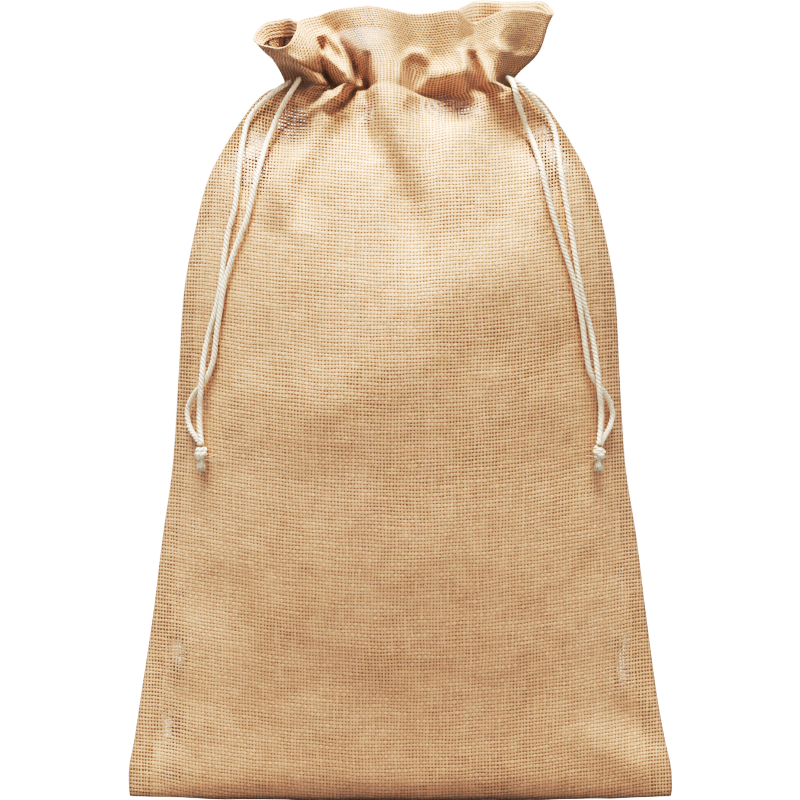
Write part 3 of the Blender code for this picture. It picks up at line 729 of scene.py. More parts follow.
def fold_depths(x, z, on_front):
    """How far the soft folds draw each point of the body in."""
    drawn_in = np.zeros(len(x))
    for fold in FOLDS:
        start = np.array([fold.from_x, fold.from_z])
        run = np.array([fold.to_x, fold.to_z]) - start
        length = np.hypot(*run)
        out_x, out_z = x - start[0], z - start[1]
        along = (out_x * run[0] + out_z * run[1]) / length**2
        across = (out_x * run[1] - out_z * run[0]) / length
        fading = np.clip(1 - (2 * along - 1) ** 2, 0, 1) ** FOLD_FADE
        here = on_front if fold.side < 0 else ~on_front
        drawn_in += here * fold.depth * fading * np.exp(-((across / fold.width) ** 2))
    return drawn_in


def body_points(height, shares):
    """The body without the neck's gathers: its sections, drawn in by its soft folds."""
    outline = body_section(height, shares)
    x, y = outline.T
    on_front = shares <= 0.5
    drawn_in = fold_depths(x, np.full(len(x), height), on_front)
    room = np.clip(np.abs(y) - SIDE_EDGE, 0, None)
    trough = np.minimum(drawn_in, room / 2)
    ridge = drawn_in * np.minimum(room / FOLD_ROOM, 1)
    drawn_in = np.where(drawn_in > 0, trough, ridge)
    y = y + np.where(on_front, drawn_in, -drawn_in)
    return np.column_stack([x, y, np.full(len(x), height)])


def neck_points(shares):
    """The gathered neck: where each share of the cloth lies, and how far its fold reaches down."""
    tucks = np.array([*NECK_FRONT, *NECK_BACK])
    places = shares_by_distance([tuck[:2] for tuck in NECK_FRONT], [tuck[:2] for tuck in NECK_BACK])
    found = closed_loop(tucks, places, shares)
    points = np.column_stack([found[:, :2], NECK_HEIGHT + found[:, 2]])
    return points, found[:, 3:]


def rim_points(shares):
    turns = np.array([*RIM_FRONT, *RIM_BACK])
    return closed_loop(turns, shares_by_distance(RIM_FRONT, RIM_BACK), shares)


def sole_row(along, shares):
    """The flat base, from the bottom fold (0), which is a little shorter, to its edge (1)."""
    edge = body_points(0, shares)
    return edge * [1 - SOLE_TAPER * (1 - along), along, 1]


def body_row(height, shares):
    """The body, with the neck's folds running down it and fading out."""
    plain = body_points(height, shares)
    neck, reach = neck_points(shares)
    fold = neck - body_points(NECK_HEIGHT, shares)
    left = np.clip(1 - (NECK_HEIGHT - height) / reach, 0, 1)
    return plain + fold * left**TUCK_FADE


def ruffle_row(along, shares):
    """The ruffle, from the neck (0) to the rim (1): it stands up a little, then flares."""
    neck, _ = neck_points(shares)
    rim = rim_points(shares)
    flare = rim - neck
    upwards = RUFFLE_LEAN * flare + np.array([0, 0, RUFFLE_STAND])
    return eased(neck, upwards, rim, flare, along)


# ---------------------------------------------------------------- creases


def as_seen(points, side):
    """Where each point shows on the plane of the side seams, from in front (-1) or from behind (1)."""
    nearer = VIEW_DISTANCE / (VIEW_DISTANCE - side * points[..., 1])
    return points[..., 0] * nearer, VIEW_HEIGHT + (points[..., 2] - VIEW_HEIGHT) * nearer


def crease_height(crease, x, z):
    """How far one crease draws each place towards the viewer."""
    nearest = np.full(x.shape, np.inf)
    place = np.zeros(x.shape)
    line = np.array(crease.points, float)
    runs = np.diff(line, axis=0)
    lengths = np.hypot(*runs.T)
    so_far = np.concatenate([[0], np.cumsum(lengths)])
    for start, run, length, before in zip(line, runs, lengths, so_far):
        out_x, out_z = x - start[0], z - start[1]
        along = np.clip((out_x * run[0] + out_z * run[1]) / length**2, 0, 1)
        gap_x, gap_z = out_x - along * run[0], out_z - along * run[1]
        left = np.where(run[0] * gap_z - run[1] * gap_x > 0, 1, -1)
        distance = left * np.hypot(gap_x, gap_z)
        closer = np.abs(distance) < np.abs(nearest)
        nearest = np.where(closer, distance, nearest)
        place = np.where(closer, (before + along * length) / so_far[-1], place)
    off = nearest / crease.width
    fading = np.clip(4 * place * (1 - place), 0, 1) ** np.clip(crease.width / BLUNT_WIDTH, 0.5, 1)
    lip = crease.lean * off * np.exp(0.5 - off**2 / 2)
    return fading * (crease.height * np.exp(-(off**2)) + lip)


def add_creases(points, side):
    """Adds one face's creases, where the cloth faces the viewer."""
    x, z = (seen / MM for seen in as_seen(points, side))
    height = sum(crease_height(crease, x, z) for crease in CREASES if crease.side == side)
    facing = np.clip((side * points[..., 1] - FACING_FROM) / FACING_RUN, 0, 1)
    points[..., 1] += side * height * facing * MM


def add_pushes(points):
    for push in PUSHES:
        centre = np.array([push.x, push.y, push.z]) * MM
        distance = np.linalg.norm(points - centre, axis=-1) / (push.reach * MM)
        points += np.exp(-(distance**2))[..., None] * np.array([push.by_x, push.by_y, push.by_z]) * MM


def unevenness(points, size, seed):
    """A smooth random number from about -1 to 1 at each point, whose bumps are about this far apart."""
    places = (points / size + seed * SEEDS_APART).reshape(-1, 3)
    return np.array([noise.noise(Vector(place)) for place in places]).reshape(points.shape[:-1])


def grid_normals(points):
    """The outward direction at each point of a closed round grid of rows."""
    across = np.roll(points, -1, axis=1) - np.roll(points, 1, axis=1)
    up = np.gradient(points, axis=0)
    normal = np.cross(across, up)
    return normal / np.maximum(np.linalg.norm(normal, axis=-1, keepdims=True), 1e-12)


def make_room_for_cords(points, lines):
    """Presses the front back where a cord lies on it."""
    x, z = as_seen(points, -1)
    radius = CORD_DIAMETER / 2 + CORD_CLEARANCE
    reach = ROOM_WIDTH * radius
    for line in lines:
        line_x, line_z = as_seen(line, -1)
        near = (x > line_x.min() - reach) & (x < line_x.max() + reach) & (points[..., 1] < 0)
        near &= (z > line_z.min() - reach) & (z < line_z.max() + reach)
        gap = np.hypot(x[near][:, None] - line_x, z[near][:, None] - line_z)
        closest = gap.argmin(axis=1)
        off = gap.min(axis=1) / reach
        room = line[closest, 1] + radius * (1 - np.clip(off, 0, 1) ** 2)
        y = points[near, 1]
        points[near, 1] = np.where(off < 1, np.maximum(y, room), y)


# ---------------------------------------------------------------- the cloth's mesh

# A closed round grid of the cloth's points, how far each is along the cloth from the bottom fold, how
# many of its columns there are for each coarse one, and how wide each row spreads.
Grid = namedtuple("Grid", "points lengths split spreads")
# One row of cloth: its points, their places on the flat cloth, how loose and how clear its weave is, and
# how far from the middle the weave has run there.
Row = namedtuple("Row", "points flat looseness clearness run")


def across_face(split):
    """Shares of the way across a face from seam to seam, each coarse step cut into this many."""
    edge = SIDE_EDGE_RUN / CUT_WIDTH / 2
    coarse = np.sort(np.concatenate([np.linspace(0, 1, COARSE_COLUMNS + 1), [edge, 1 - edge]]))
    fine = [np.linspace(a, b, split, endpoint=False) for a, b in zip(coarse, coarse[1:])]
    return np.concatenate([*fine, [1.0]])


def round_shares(split):
    """Shares of the way round, front then back."""
    across = across_face(split)[:-1]
    return np.concatenate([across / 2, 0.5 + across / 2])


def heights(low, high, step):
    return np.linspace(low, high, round((high - low) / step) + 1)


def lower_rows():
    shares = round_shares(1)
    rows = [sole_row(along, shares) for along in np.linspace(0, 1, SOLE_ROWS)]
    rows += [body_row(height, shares) for height in heights(0, SPLIT_HEIGHT, LOWER_ROW)[1:-1]]
    return np.array(rows)


def upper_rows():
    """The finer rows, from the split height up to the rim."""
    shares = round_shares(SPLIT)
    rows = [body_row(height, shares) for height in heights(SPLIT_HEIGHT, NECK_HEIGHT, UPPER_ROW)]
    rows += [ruffle_row(along, shares) for along in np.linspace(0, 1, RUFFLE_ROWS)[1:]]
    return np.array(rows)


def settled(points, cord_lines):
    """The cloth with its creases and small unevenness, clear of the cords and of the ground."""
    points = points + [0, 0, CLOTH_LIFT]
    add_pushes(points)
    half = points.shape[1] // 2
    add_creases(points[:, :half], -1)
    add_creases(points[:, half:], 1)
    bump = WAVE_HEIGHT * unevenness(points, WAVE_SIZE, 1)
    bump += WRINKLE_HEIGHT * unevenness(points, WRINKLE_SIZE, 2)
    room = np.clip((np.abs(points[..., 1]) - SIDE_EDGE) / FOLD_ROOM, 0, 1)
    points += grid_normals(points) * (bump * room)[..., None]
    make_room_for_cords(points, cord_lines)
    points[..., 2] = np.maximum(points[..., 2], GROUND_GAP)
    return points


def lengths_along(points):
    """How far each point is along the cloth from the bottom fold, evened out between columns, so that
    every column ends at the cut length."""
    steps = np.linalg.norm(np.diff(points, axis=0), axis=2)
    lengths = np.concatenate([np.zeros((1, points.shape[1])), np.cumsum(steps, axis=0)])
    window = np.hanning(2 * SMOOTHED_COLUMNS + 1)
    shifts = range(-SMOOTHED_COLUMNS, SMOOTHED_COLUMNS + 1)
    lengths = sum(w * np.roll(lengths, s, axis=1) for w, s in zip(window, shifts)) / window.sum()
    half = points.shape[1] // 2
    level = (lengths[:, :1] + lengths[:, half : half + 1]) / 2
    lengths += SAG_EVENED * (level - lengths)
    neck = len(points) - RUFFLE_ROWS
    stretch = (CUT_LENGTH - lengths[neck]) / (lengths[-1] - lengths[neck])
    lengths[neck:] = lengths[neck] + (lengths[neck:] - lengths[neck]) * stretch
    return lengths


def with_columns_between(coarse):
    """Values of the coarse columns, and of the finer ones evenly between them."""
    onward = np.roll(coarse, -1, axis=1)
    between = [coarse + (onward - coarse) * k / SPLIT for k in range(SPLIT)]
    return np.stack(between, axis=2).reshape(len(coarse), -1)


def cloth_grids(cord_lines):
    lower = settled(lower_rows(), cord_lines)
    upper = settled(upper_rows(), cord_lines)
    points = np.concatenate([lower, upper[:, ::SPLIT]])
    lengths = lengths_along(points)
    spreads = spreads_of(points)
    low = len(lower)
    finer = with_columns_between(lengths[low:])
    return Grid(lower, lengths[:low], 1, spreads[:low]), Grid(upper, finer, SPLIT, spreads[low:])


def opening_amounts(points):
    """How loose and how clear the weave is at each point, from 0 to 1."""
    x, z = (seen / MM for seen in as_seen(points, -1))
    loose = np.zeros(x.shape)
    clear = np.zeros(x.shape)
    for opening in OPENINGS:
        off = ((x - opening.x) / opening.reach_x) ** 2 + ((z - opening.z) / opening.reach_z) ** 2
        share = np.exp(-(off**2))
        loose = np.maximum(loose, opening.loose * share)
        clear = np.maximum(clear, opening.clear * share)
    return loose, clear


def face_of(grid, face):
    """The columns of one face, from seam to seam, and how far across the flat cloth each is."""
    across = across_face(grid.split) * CUT_WIDTH
    columns = np.arange(len(across))
    if face < 0:
        return columns, across
    return (columns + len(across) - 1) % grid.points.shape[1], across[::-1]


def runs_of(points, across, spreads):
    """How far the weave has run from the middle of each row, where its yarns keep the distance that shows
    from in front, but for the cloth that turns to the sides."""
    seen = np.clip((SEEN_BELOW - points[..., 2]) / SEEN_FADE, 0, 1)
    steps = np.diff(across)
    shown = np.maximum(np.diff(points[..., 0], axis=1) / steps, SEEN_LEAST)
    between = (seen[:, 1:] + seen[:, :-1]) / 2
    gained = (np.array(spreads)[:, None] * (1 - between) + shown * between) * steps
    runs = np.column_stack([np.zeros(len(points)), np.cumsum(gained, axis=1)])
    middle = len(across) // 2
    start = points[:, middle, 0] * seen[:, middle] - runs[:, middle]
    return runs + start[:, None]


def rows_of(points, lengths, across, face, spreads):
    """Rows of one face, from their points and how far along and across the flat cloth these are."""
    looseness, clearness = opening_amounts(points)
    runs = runs_of(points, across, spreads)
    return [
        Row(row, np.column_stack([across, -face * length]), loose, clear, run)
        for row, length, loose, clear, run in zip(points, lengths, looseness, clearness, runs)
    ]


def spreads_of(points):
    """How wide each row spreads, as a share of the flat cloth. The creases of the neck hide the rest."""
    around = np.linalg.norm(points - np.roll(points, 1, axis=1), axis=2).sum(axis=1)
    share = around / (2 * CUT_WIDTH) / YARNS_SEEN
    return 1 - np.logaddexp(0, (1 - share) * SPREAD_BEND) / SPREAD_BEND


def hem_rows(grid, face):
    """The hem of one face, from the rim down the inside."""
    normals = grid_normals(grid.points)
    rim = grid.points[-1]
    up = rim - grid.points[-2]
    up /= np.linalg.norm(up, axis=1, keepdims=True)
    hem = [rim + up * HEM_GAP / 3 - normals[-1] * HEM_GAP / 2]
    lengths = [np.full(len(rim), CUT_LENGTH + HEM_GAP / 2)]
    spreads = [grid.spreads[-1]]
    for below in range(1, HEM_ROWS * HEM_ROW_STEP, HEM_ROW_STEP):
        hem.append(grid.points[-1 - below] - normals[-1 - below] * HEM_GAP)
        lengths.append(CUT_LENGTH + HEM_GAP + np.linalg.norm(grid.points[-1 - below] - rim, axis=1))
        spreads.append(grid.spreads[-1 - below])
    columns, across = face_of(grid, face)
    return rows_of(np.array(hem)[:, columns], np.array(lengths)[:, columns], across, face, spreads)


def face_rows(grids, face):
    """One face of the sack, with its hem turned over the rim."""
    rows = []
    for grid in grids:
        columns, across = face_of(grid, face)
        rows += rows_of(grid.points[:, columns], grid.lengths[:, columns], across, face, grid.spreads)
    return rows + hem_rows(grids[-1], face)


def allowance_rows(grids, face, end):
    """The cut edge beside one side seam, turned to the inside of a face. end is 0 where the face's
    columns begin and 1 where they end."""
    rows = []
    for grid in grids:
        columns, across = face_of(grid, face)
        first, last = (column * grid.split for column in ALLOWANCE_COLUMNS)
        kept = slice(first, last + 1) if end == 0 else slice(len(columns) - 1 - last, len(columns) - first)
        inside = grid.points - grid_normals(grid.points) * SEAM_GAP
        seam = across[0 if end == 0 else -1]
        turned = 2 * seam - across[kept]
        lengths = grid.lengths[:, columns[kept]]
        rows += rows_of(inside[:, columns[kept]], lengths, turned, face, grid.spreads)
    return rows[1:]


def faces_between(low_start, low_count, high_start, high_count):
    """Quads between two rows of points, or six-sided faces where the upper row is the finer one."""
    split = (high_count - 1) // (low_count - 1)
    for i in range(low_count - 1):
        above = [high_start + split * (i + 1) - k for k in range(split + 1)]
        yield low_start + i, low_start + i + 1, *above


def cloth_mesh(patches):
    """One mesh of all the rows, its patches joined where their edges meet."""
    rows = [row for patch in patches for row in patch]
    starts = np.concatenate([[0], np.cumsum([len(row.points) for row in rows])])
    faces = []
    done = 0
    for patch in patches:
        for low in range(done, done + len(patch) - 1):
            counts = len(rows[low].points), len(rows[low + 1].points)
            faces += faces_between(starts[low], counts[0], starts[low + 1], counts[1])
        done += len(patch)
    points = np.concatenate([row.points for row in rows])
    mesh = mapped_mesh("sack_cloth", points, faces, np.concatenate([row.flat for row in rows]))
    for name in CLOTH_VALUES:
        values = mesh.attributes.new(name, "FLOAT", "POINT").data
        values.foreach_set("value", np.concatenate([getattr(row, name) for row in rows]))
    joined = bmesh.new()
    joined.from_mesh(mesh)
    bmesh.ops.remove_doubles(joined, verts=joined.verts, dist=JOIN_DISTANCE)
    joined.to_mesh(mesh)
    joined.free()
    mesh.shade_smooth()
    return mesh


def sack_cloth(finish, cord_lines):
    grids = cloth_grids(cord_lines)
    patches = [face_rows(grids, face) for face in (-1, 1)]
    patches += [allowance_rows(grids, face, end) for face in (-1, 1) for end in (0, 1)]
    cloth = add_piece("sack_cloth", cloth_mesh(patches), finish)
    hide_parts("sack")
    return cloth


# ---------------------------------------------------------------- cords


def cloth_to_lie_on():
    """The cloth before its creases, as a tree of its faces, to find where a cord touches it."""
    points = np.concatenate([lower_rows(), upper_rows()[:, ::SPLIT]]) + [0, 0, CLOTH_LIFT]
    add_pushes(points)
    count = points.shape[1]
    here = np.arange(len(points) - 1)[:, None] * count + np.arange(count - 1)
    faces = np.stack([here, here + 1, here + count + 1, here + count], axis=2)
    return BVHTree.FromPolygons(points.reshape(-1, 3).tolist(), faces.reshape(-1, 4).tolist())


def laid_on(cloth, places):
    """The places, each set down on the front of the cloth and lifted off it by its own amount."""
    laid = []
    for x, z, lift in places:
        place = cloth.ray_cast(Vector((x, LAYING_FROM, z)), Vector((0, 1, 0)))[0]
        while cloth.find_nearest(place)[3] < CORD_SEAT + lift:
            place.y -= LAYING_STEP
        laid.append(tuple(place))
    return laid


def directions_across(points):
    """Two directions across the line at each of its points, carried along without twisting."""
    tangents = np.gradient(points, axis=0)
    tangents /= np.linalg.norm(tangents, axis=1, keepdims=True)
    side = np.cross(tangents[0], [0.0, 1.0, 0.1])
    sides = []
    for tangent in tangents:
        side = side - tangent * (side @ tangent)
        side /= np.linalg.norm(side)
        sides.append(side)
    return np.array(sides), np.cross(tangents, sides)


def tube(line, radius, sides):
    """Points and faces of a closed round tube, and each point's place round and along it."""
    across, over = directions_across(line)
    radius = np.broadcast_to(radius, len(line))
    around = np.arange(sides) * 2 * math.pi / sides
    ring = np.cos(around)[:, None] * across[:, None] + np.sin(around)[:, None] * over[:, None]
    points = (line[:, None] + radius[:, None, None] * ring).reshape(-1, 3)
    flat = np.stack(np.meshgrid(around / 2 / math.pi, far_along(line)), axis=-1).reshape(-1, 2)
    faces = []
    for i in range(len(line) - 1):
        for j in range(sides):
            here, beside = i * sides + j, i * sides + (j + 1) % sides
            faces.append((here, beside, beside + sides, here + sides))
    last = (len(line) - 1) * sides
    faces.append(tuple(range(sides))[::-1])
    faces.append(tuple(last + j for j in range(sides)))
    return points, faces, flat


def ply_lines(line):
    """The middle lines of the plies that twist round each other along a line."""
    across, over = directions_across(line)
    for ply in range(PLIES):
        turn = TWIST * 2 * math.pi * far_along(line) / PLY_LAY + 2 * math.pi * ply / PLIES
        yield line + PLY_RADIUS * (np.cos(turn)[:, None] * across + np.sin(turn)[:, None] * over)


def tubes_mesh(name, tubes):
    """One mesh of many tubes, with their places round and along as its UV map."""
    points, faces, flat = [], [], []
    start = 0
    for tube_points, tube_faces, tube_flat in tubes:
        points.append(tube_points)
        flat.append(tube_flat)
        faces += [tuple(start + i for i in face) for face in tube_faces]
        start += len(tube_points)
    mesh = mapped_mesh(name, np.concatenate(points), faces, np.concatenate(flat))
    mesh.shade_smooth()
    return mesh


def cord(name, route, knot, finish):
    """A cord of three plies, twisted, along its route."""
    line = line_through(route, PLY_STEP)
    plies = [tube(ply, PLY_THICKNESS / 2, PLY_SIDES) for ply in ply_lines(line)]
    piece = add_piece(name + "_twist", tubes_mesh(name, plies), finish)
    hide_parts(name)
    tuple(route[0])  # fmt: skip
    return piece


# ---------------------------------------------------------------- knots


def knot_wraps(place, lean):
    """The cord wound round itself, as the line of its turns."""
    turns = np.linspace(0, 1, WRAP_POINTS)
    angle = 2 * math.pi * WRAP_TURNS * turns + WRAP_START
    bulge = 1 - WRAP_TAPER * (2 * turns - 1) ** 2
    line = np.column_stack([
        WRAP_RADIUS * bulge * np.cos(angle),
        WRAP_RADIUS * bulge * np.sin(angle),
        -WRAP_TOP - WRAP_DROP * turns,
    ])
    line[:, 2] += lean * line[:, 0]
    return line + place


def tuft_strand(place, random):
    """One cut fibre bundle of the tuft, from inside the knot down and outwards."""
    angle = random.uniform(0, 2 * math.pi)
    start = TUFT_ROOT * math.sqrt(random.uniform()) * np.array([math.cos(angle), math.sin(angle), 0])
    spread = random.uniform(*TUFT_SPREAD)
    end = start * spread + [0, 0, -random.uniform(*TUFT_LENGTH)]
    end += [random.normal(0, TUFT_STRAY), random.normal(0, TUFT_STRAY), 0]
    bend = random.normal(0, TUFT_BEND, 3) * [1, 1, 0]
    along = np.linspace(0, 1, TUFT_POINTS)[:, None]
    line = start * (1 - along) + end * along + bend * along * (1 - along)
    line += start * (spread - 1) * (along**2 - along)
    return line + place - [0, 0, WRAP_FOOT]


def stray_line(place, stray):
    """A fibre end that strays from a knot in one bend."""
    along = np.linspace(0, 1, STRAY_POINTS)[:, None]
    start, middle, end = (np.array(point) * MM for point in (stray.start, stray.middle, stray.end))
    return place + start * (1 - along) ** 2 + 2 * middle * along * (1 - along) + end * along**2


def knot_with_tuft(name, place, finish):
    random = np.random.default_rng(KNOT_SEEDS[name])
    wraps = knot_wraps(place, KNOT_LEANS[name])
    tubes = [tube(ply, PLY_THICKNESS / 2, PLY_SIDES) for ply in ply_lines(wraps)]
    core = place - np.array([[0, 0, depth] for depth in CORE_DEPTHS])
    tubes.append(tube(core, CORE_RADIUS, PLY_SIDES * 2))
    for _ in range(TUFT_STRANDS):
        thickness = random.uniform(*STRAND_THICKNESS)
        taper = thickness / 2 * np.linspace(1, TUFT_TAPER, TUFT_POINTS)
        tubes.append(tube(tuft_strand(place, random), taper, STRAND_SIDES))
    for stray in STRAYS:
        if stray.knot == name:
            tubes.append(tube(stray_line(place, stray), STRAY_THICKNESS / 2, STRAND_SIDES))
    piece = add_piece(name + "_tied", tubes_mesh(name, tubes), finish)
    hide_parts(name)
    return piece


# ---------------------------------------------------------------- loose fibres


def fibre_tree(finish):
    """Geometry nodes that stand loose fibres on a cloth."""
    tree = bpy.data.node_groups.new("loose_fibres", "GeometryNodeTree")
    socket = tree.interface.new_socket
    socket("Cloth", in_out="INPUT", socket_type="NodeSocketGeometry")
    for name, value in FIBRE_SIZES.items():
        made = socket(name, in_out="INPUT", socket_type="NodeSocketFloat")
        made.default_value = value
    socket("Fibres", in_out="OUTPUT", socket_type="NodeSocketGeometry")
    nodes, link = tree.nodes, tree.links.new
    entry, leave = nodes.new("NodeGroupInput"), nodes.new("NodeGroupOutput")

    scatter = nodes.new("GeometryNodeDistributePointsOnFaces")
    scatter.inputs["Seed"].default_value = FIBRE_SEED
    link(entry.outputs["Cloth"], scatter.inputs["Mesh"])
    link(entry.outputs["Number per m2"], scatter.inputs["Density"])

    bend = nodes.new("GeometryNodeCurveQuadraticBezier")
    bend.inputs["Resolution"].default_value = FIBRE_PIECES
    for name, place in zip(("Start", "Middle", "End"), FIBRE_BEND):
        bend.inputs[name].default_value = place
    outline = nodes.new("GeometryNodeCurvePrimitiveCircle")
    outline.inputs["Resolution"].default_value = STRAND_SIDES
    link(entry.outputs["Thickness of its length"], outline.inputs["Radius"])
    fibre = nodes.new("GeometryNodeCurveToMesh")
    link(bend.outputs["Curve"], fibre.inputs["Curve"])
    link(outline.outputs["Curve"], fibre.inputs["Profile Curve"])

    spin = nodes.new("FunctionNodeRandomValue")
    spin.data_type = "FLOAT_VECTOR"
    spin.inputs["Min"].default_value = (-FIBRE_TILT, -FIBRE_TILT, -math.pi)
    spin.inputs["Max"].default_value = (FIBRE_TILT, FIBRE_TILT, math.pi)
    turned = nodes.new("FunctionNodeRotateEuler")
    turned.space = "LOCAL"
    link(scatter.outputs["Rotation"], turned.inputs["Rotation"])
    link(spin.outputs["Value"], turned.inputs["Rotate By"])
    size = nodes.new("FunctionNodeRandomValue")
    size.data_type = "FLOAT"
    float_entries = [one for one in size.inputs if one.type == "VALUE"]
    link(entry.outputs["Shortest"], float_entries[0])
    link(entry.outputs["Longest"], float_entries[1])

    stand = nodes.new("GeometryNodeInstanceOnPoints")
    link(scatter.outputs["Points"], stand.inputs["Points"])
    link(fibre.outputs["Mesh"], stand.inputs["Instance"])
    link(turned.outputs["Rotation"], stand.inputs["Rotation"])
    link([one for one in size.outputs if one.type == "VALUE"][0], stand.inputs["Scale"])
    real = nodes.new("GeometryNodeRealizeInstances")
    coloured = nodes.new("GeometryNodeSetMaterial")
    coloured.inputs["Material"].default_value = finish
    link(stand.outputs["Instances"], real.inputs["Geometry"])
    link(real.outputs["Geometry"], coloured.inputs["Geometry"])
    link(coloured.outputs["Geometry"], leave.inputs["Fibres"])
    return tree


def loose_fibres(cloth, finish):
    """Fine fibres that stand off the yarns."""
    base = bpy.data.objects.new("fibre_base", cloth.data.copy())
    bpy.context.scene.collection.objects.link(base)
    base.modifiers.new("fibres", "NODES").node_group = fibre_tree(finish)
    bpy.context.view_layer.update()
    evaluated = base.evaluated_get(bpy.context.evaluated_depsgraph_get())
    mesh = bpy.data.meshes.new_from_object(evaluated)
    bpy.data.objects.remove(base)
    for vertex in mesh.vertices:
        vertex.co.z = max(vertex.co.z, GROUND_GAP)
    piece = add_piece("sack_fibres", mesh, finish)
    return piece


# ---------------------------------------------------------------- materials


def feed(tree, entry, value):
    """Gives an input a fixed value, or the socket of an amount that changes over the surface."""
    if isinstance(value, Amount):
        tree.links.new(value.socket, entry)
    else:
        entry.default_value = value


class Amount:
    """A number that changes over a surface. Sums and products of it become Math nodes."""

    def __init__(self, tree, socket):
        self.tree = tree
        self.socket = socket

    def maths(self, operation, *others):
        node = self.tree.nodes.new("ShaderNodeMath")
        node.operation = operation
        for entry, value in zip(node.inputs, (self, *others)):
            feed(self.tree, entry, value)
        return Amount(self.tree, node.outputs[0])

    def __add__(self, other):
        return self.maths("ADD", other)

    def __sub__(self, other):
        return self.maths("SUBTRACT", other)

    def __mul__(self, other):
        return self.maths("MULTIPLY", other)

    def __truediv__(self, other):
        return self.maths("DIVIDE", other)

    def floor(self):
        return self.maths("FLOOR")

    def size(self):
        return self.maths("ABSOLUTE")

    def wave(self):
        """1 at whole even numbers, -1 at odd ones."""
        return (self * math.pi).maths("COSINE")

    def ramp(self, low, high):
        """0 below low and 1 above high, smooth between."""
        node = self.tree.nodes.new("ShaderNodeMapRange")
        node.interpolation_type = "SMOOTHSTEP"
        feed(self.tree, node.inputs["Value"], self)
        feed(self.tree, node.inputs["From Min"], low)
        feed(self.tree, node.inputs["From Max"], high)
        return Amount(self.tree, node.outputs["Result"])

    def between(self, low, high):
        """This share of the way from low to high."""
        return (high - low) * self + low if isinstance(high, Amount) else self * (high - low) + low


def place_of(tree, x, y, z=0.0):
    """A place from three amounts or numbers."""
    node = tree.nodes.new("ShaderNodeCombineXYZ")
    for entry, value in zip(node.inputs, (x, y, z)):
        feed(tree, entry, value)
    return Amount(tree, node.outputs[0])


def cloudy(tree, place, scale, detail=2.0):
    """Smooth noise from 0 to 1, in 3D."""
    node = tree.nodes.new("ShaderNodeTexNoise")
    node.inputs["Scale"].default_value = scale
    node.inputs["Detail"].default_value = detail
    feed(tree, node.inputs["Vector"], place)
    return Amount(tree, node.outputs[0])


def blend(tree, amount, first, second, mode="MIX"):
    """A colour this share of the way from the first to the second."""
    node = tree.nodes.new("ShaderNodeMix")
    node.data_type = "RGBA"
    node.blend_type = mode
    entries = [one for one in node.inputs if one.type == "RGBA"]
    feed(tree, node.inputs["Factor"], amount)
    for entry, colour in zip(entries, (first, second)):
        feed(tree, entry, colour if isinstance(colour, Amount) else (*colour, 1))
    return Amount(tree, [one for one in node.outputs if one.type == "RGBA"][0])


def group_tree(name, entries, results):
    """An empty shader group with these named inputs and their usual values, and named outputs."""
    tree = bpy.data.node_groups.new(name, "ShaderNodeTree")
    for entry, value in entries.items():
        kind = "NodeSocketVector" if value is None else "NodeSocketFloat"
        made = tree.interface.new_socket(entry, in_out="INPUT", socket_type=kind)
        if value is not None:
            made.default_value = value
    for result in results:
        tree.interface.new_socket(result, in_out="OUTPUT", socket_type="NodeSocketFloat")
    entry_node = tree.nodes.new("NodeGroupInput")
    given = {entry: Amount(tree, entry_node.outputs[entry]) for entry in entries}
    return tree, given, tree.nodes.new("NodeGroupOutput")


def split_place(tree, place):
    """A place's x and y."""
    node = tree.nodes.new("ShaderNodeSeparateXYZ")
    feed(tree, node.inputs[0], place)
    return Amount(tree, node.outputs["X"]), Amount(tree, node.outputs["Y"])


# The yarns that run one way: which yarn a place is on, as a count and as a whole number, how far it is off
# that yarn's middle, and the yarn's half width, cover, fine streaks and tone there.
YarnSet = namedtuple("YarnSet", "count number off half cover streak tone")


def yarns_one_way(tree, given, yarn, counted, along):
    """The yarns of one way, from the place as they are counted and as they run."""

    def noise_on(layer, across_yarns, along_yarns, scale=1.0, detail=2.0):
        ways = (across_yarns, along_yarns) if yarn is WARP else (along_yarns, across_yarns)
        return cloudy(tree, place_of(tree, *ways, float(yarn.layer + layer)), scale, detail)

    wander = noise_on(WANDER_LAYER, counted, along, WANDER_SCALE, 1.0) - 0.5
    jog = noise_on(JOG_LAYER, counted, along * JOG_STRETCH, JOG_SCALE, 1.0) - 0.5
    count = counted / given[yarn.name + " Pitch"] + wander * given["Wander"] * WANDER_REACH
    count = count + jog * given["Wander"]
    number = count.floor()
    off = (count - number - 0.5).size()
    slub = noise_on(SLUB_LAYER, number * SLUB_APART, along * SLUB_LENGTHS)
    thinner = given["Open"] * -OPEN_THINNING + 1.0
    half = given[yarn.name + " Width"] * (slub * SLUB_DEPTH + 1.0 - SLUB_DEPTH / 2) * thinner
    cover = (half - off).ramp(-EDGE_SOFTNESS, EDGE_SOFTNESS)
    slanted = count * STREAK_WIDTHS + along * TWIST_SLANT
    streak = noise_on(STREAK_LAYER, slanted, along * STREAK_LENGTHS)
    tone = noise_on(TONE_LAYER, number * TONE_APART, along * TONE_LENGTHS)
    return YarnSet(count, number, off, half, cover, streak, tone)


def yarn_height(yarn, yarns, over):
    """A yarn's height: a round back, lifted where it passes over."""
    off = (yarns.off / yarns.half).maths("MINIMUM", 1.0)
    back = (off * off * -1.0 + 1.0).maths("SQRT")
    return (back * yarn.roundness + over * yarn.lift + yarn.base) * yarns.cover


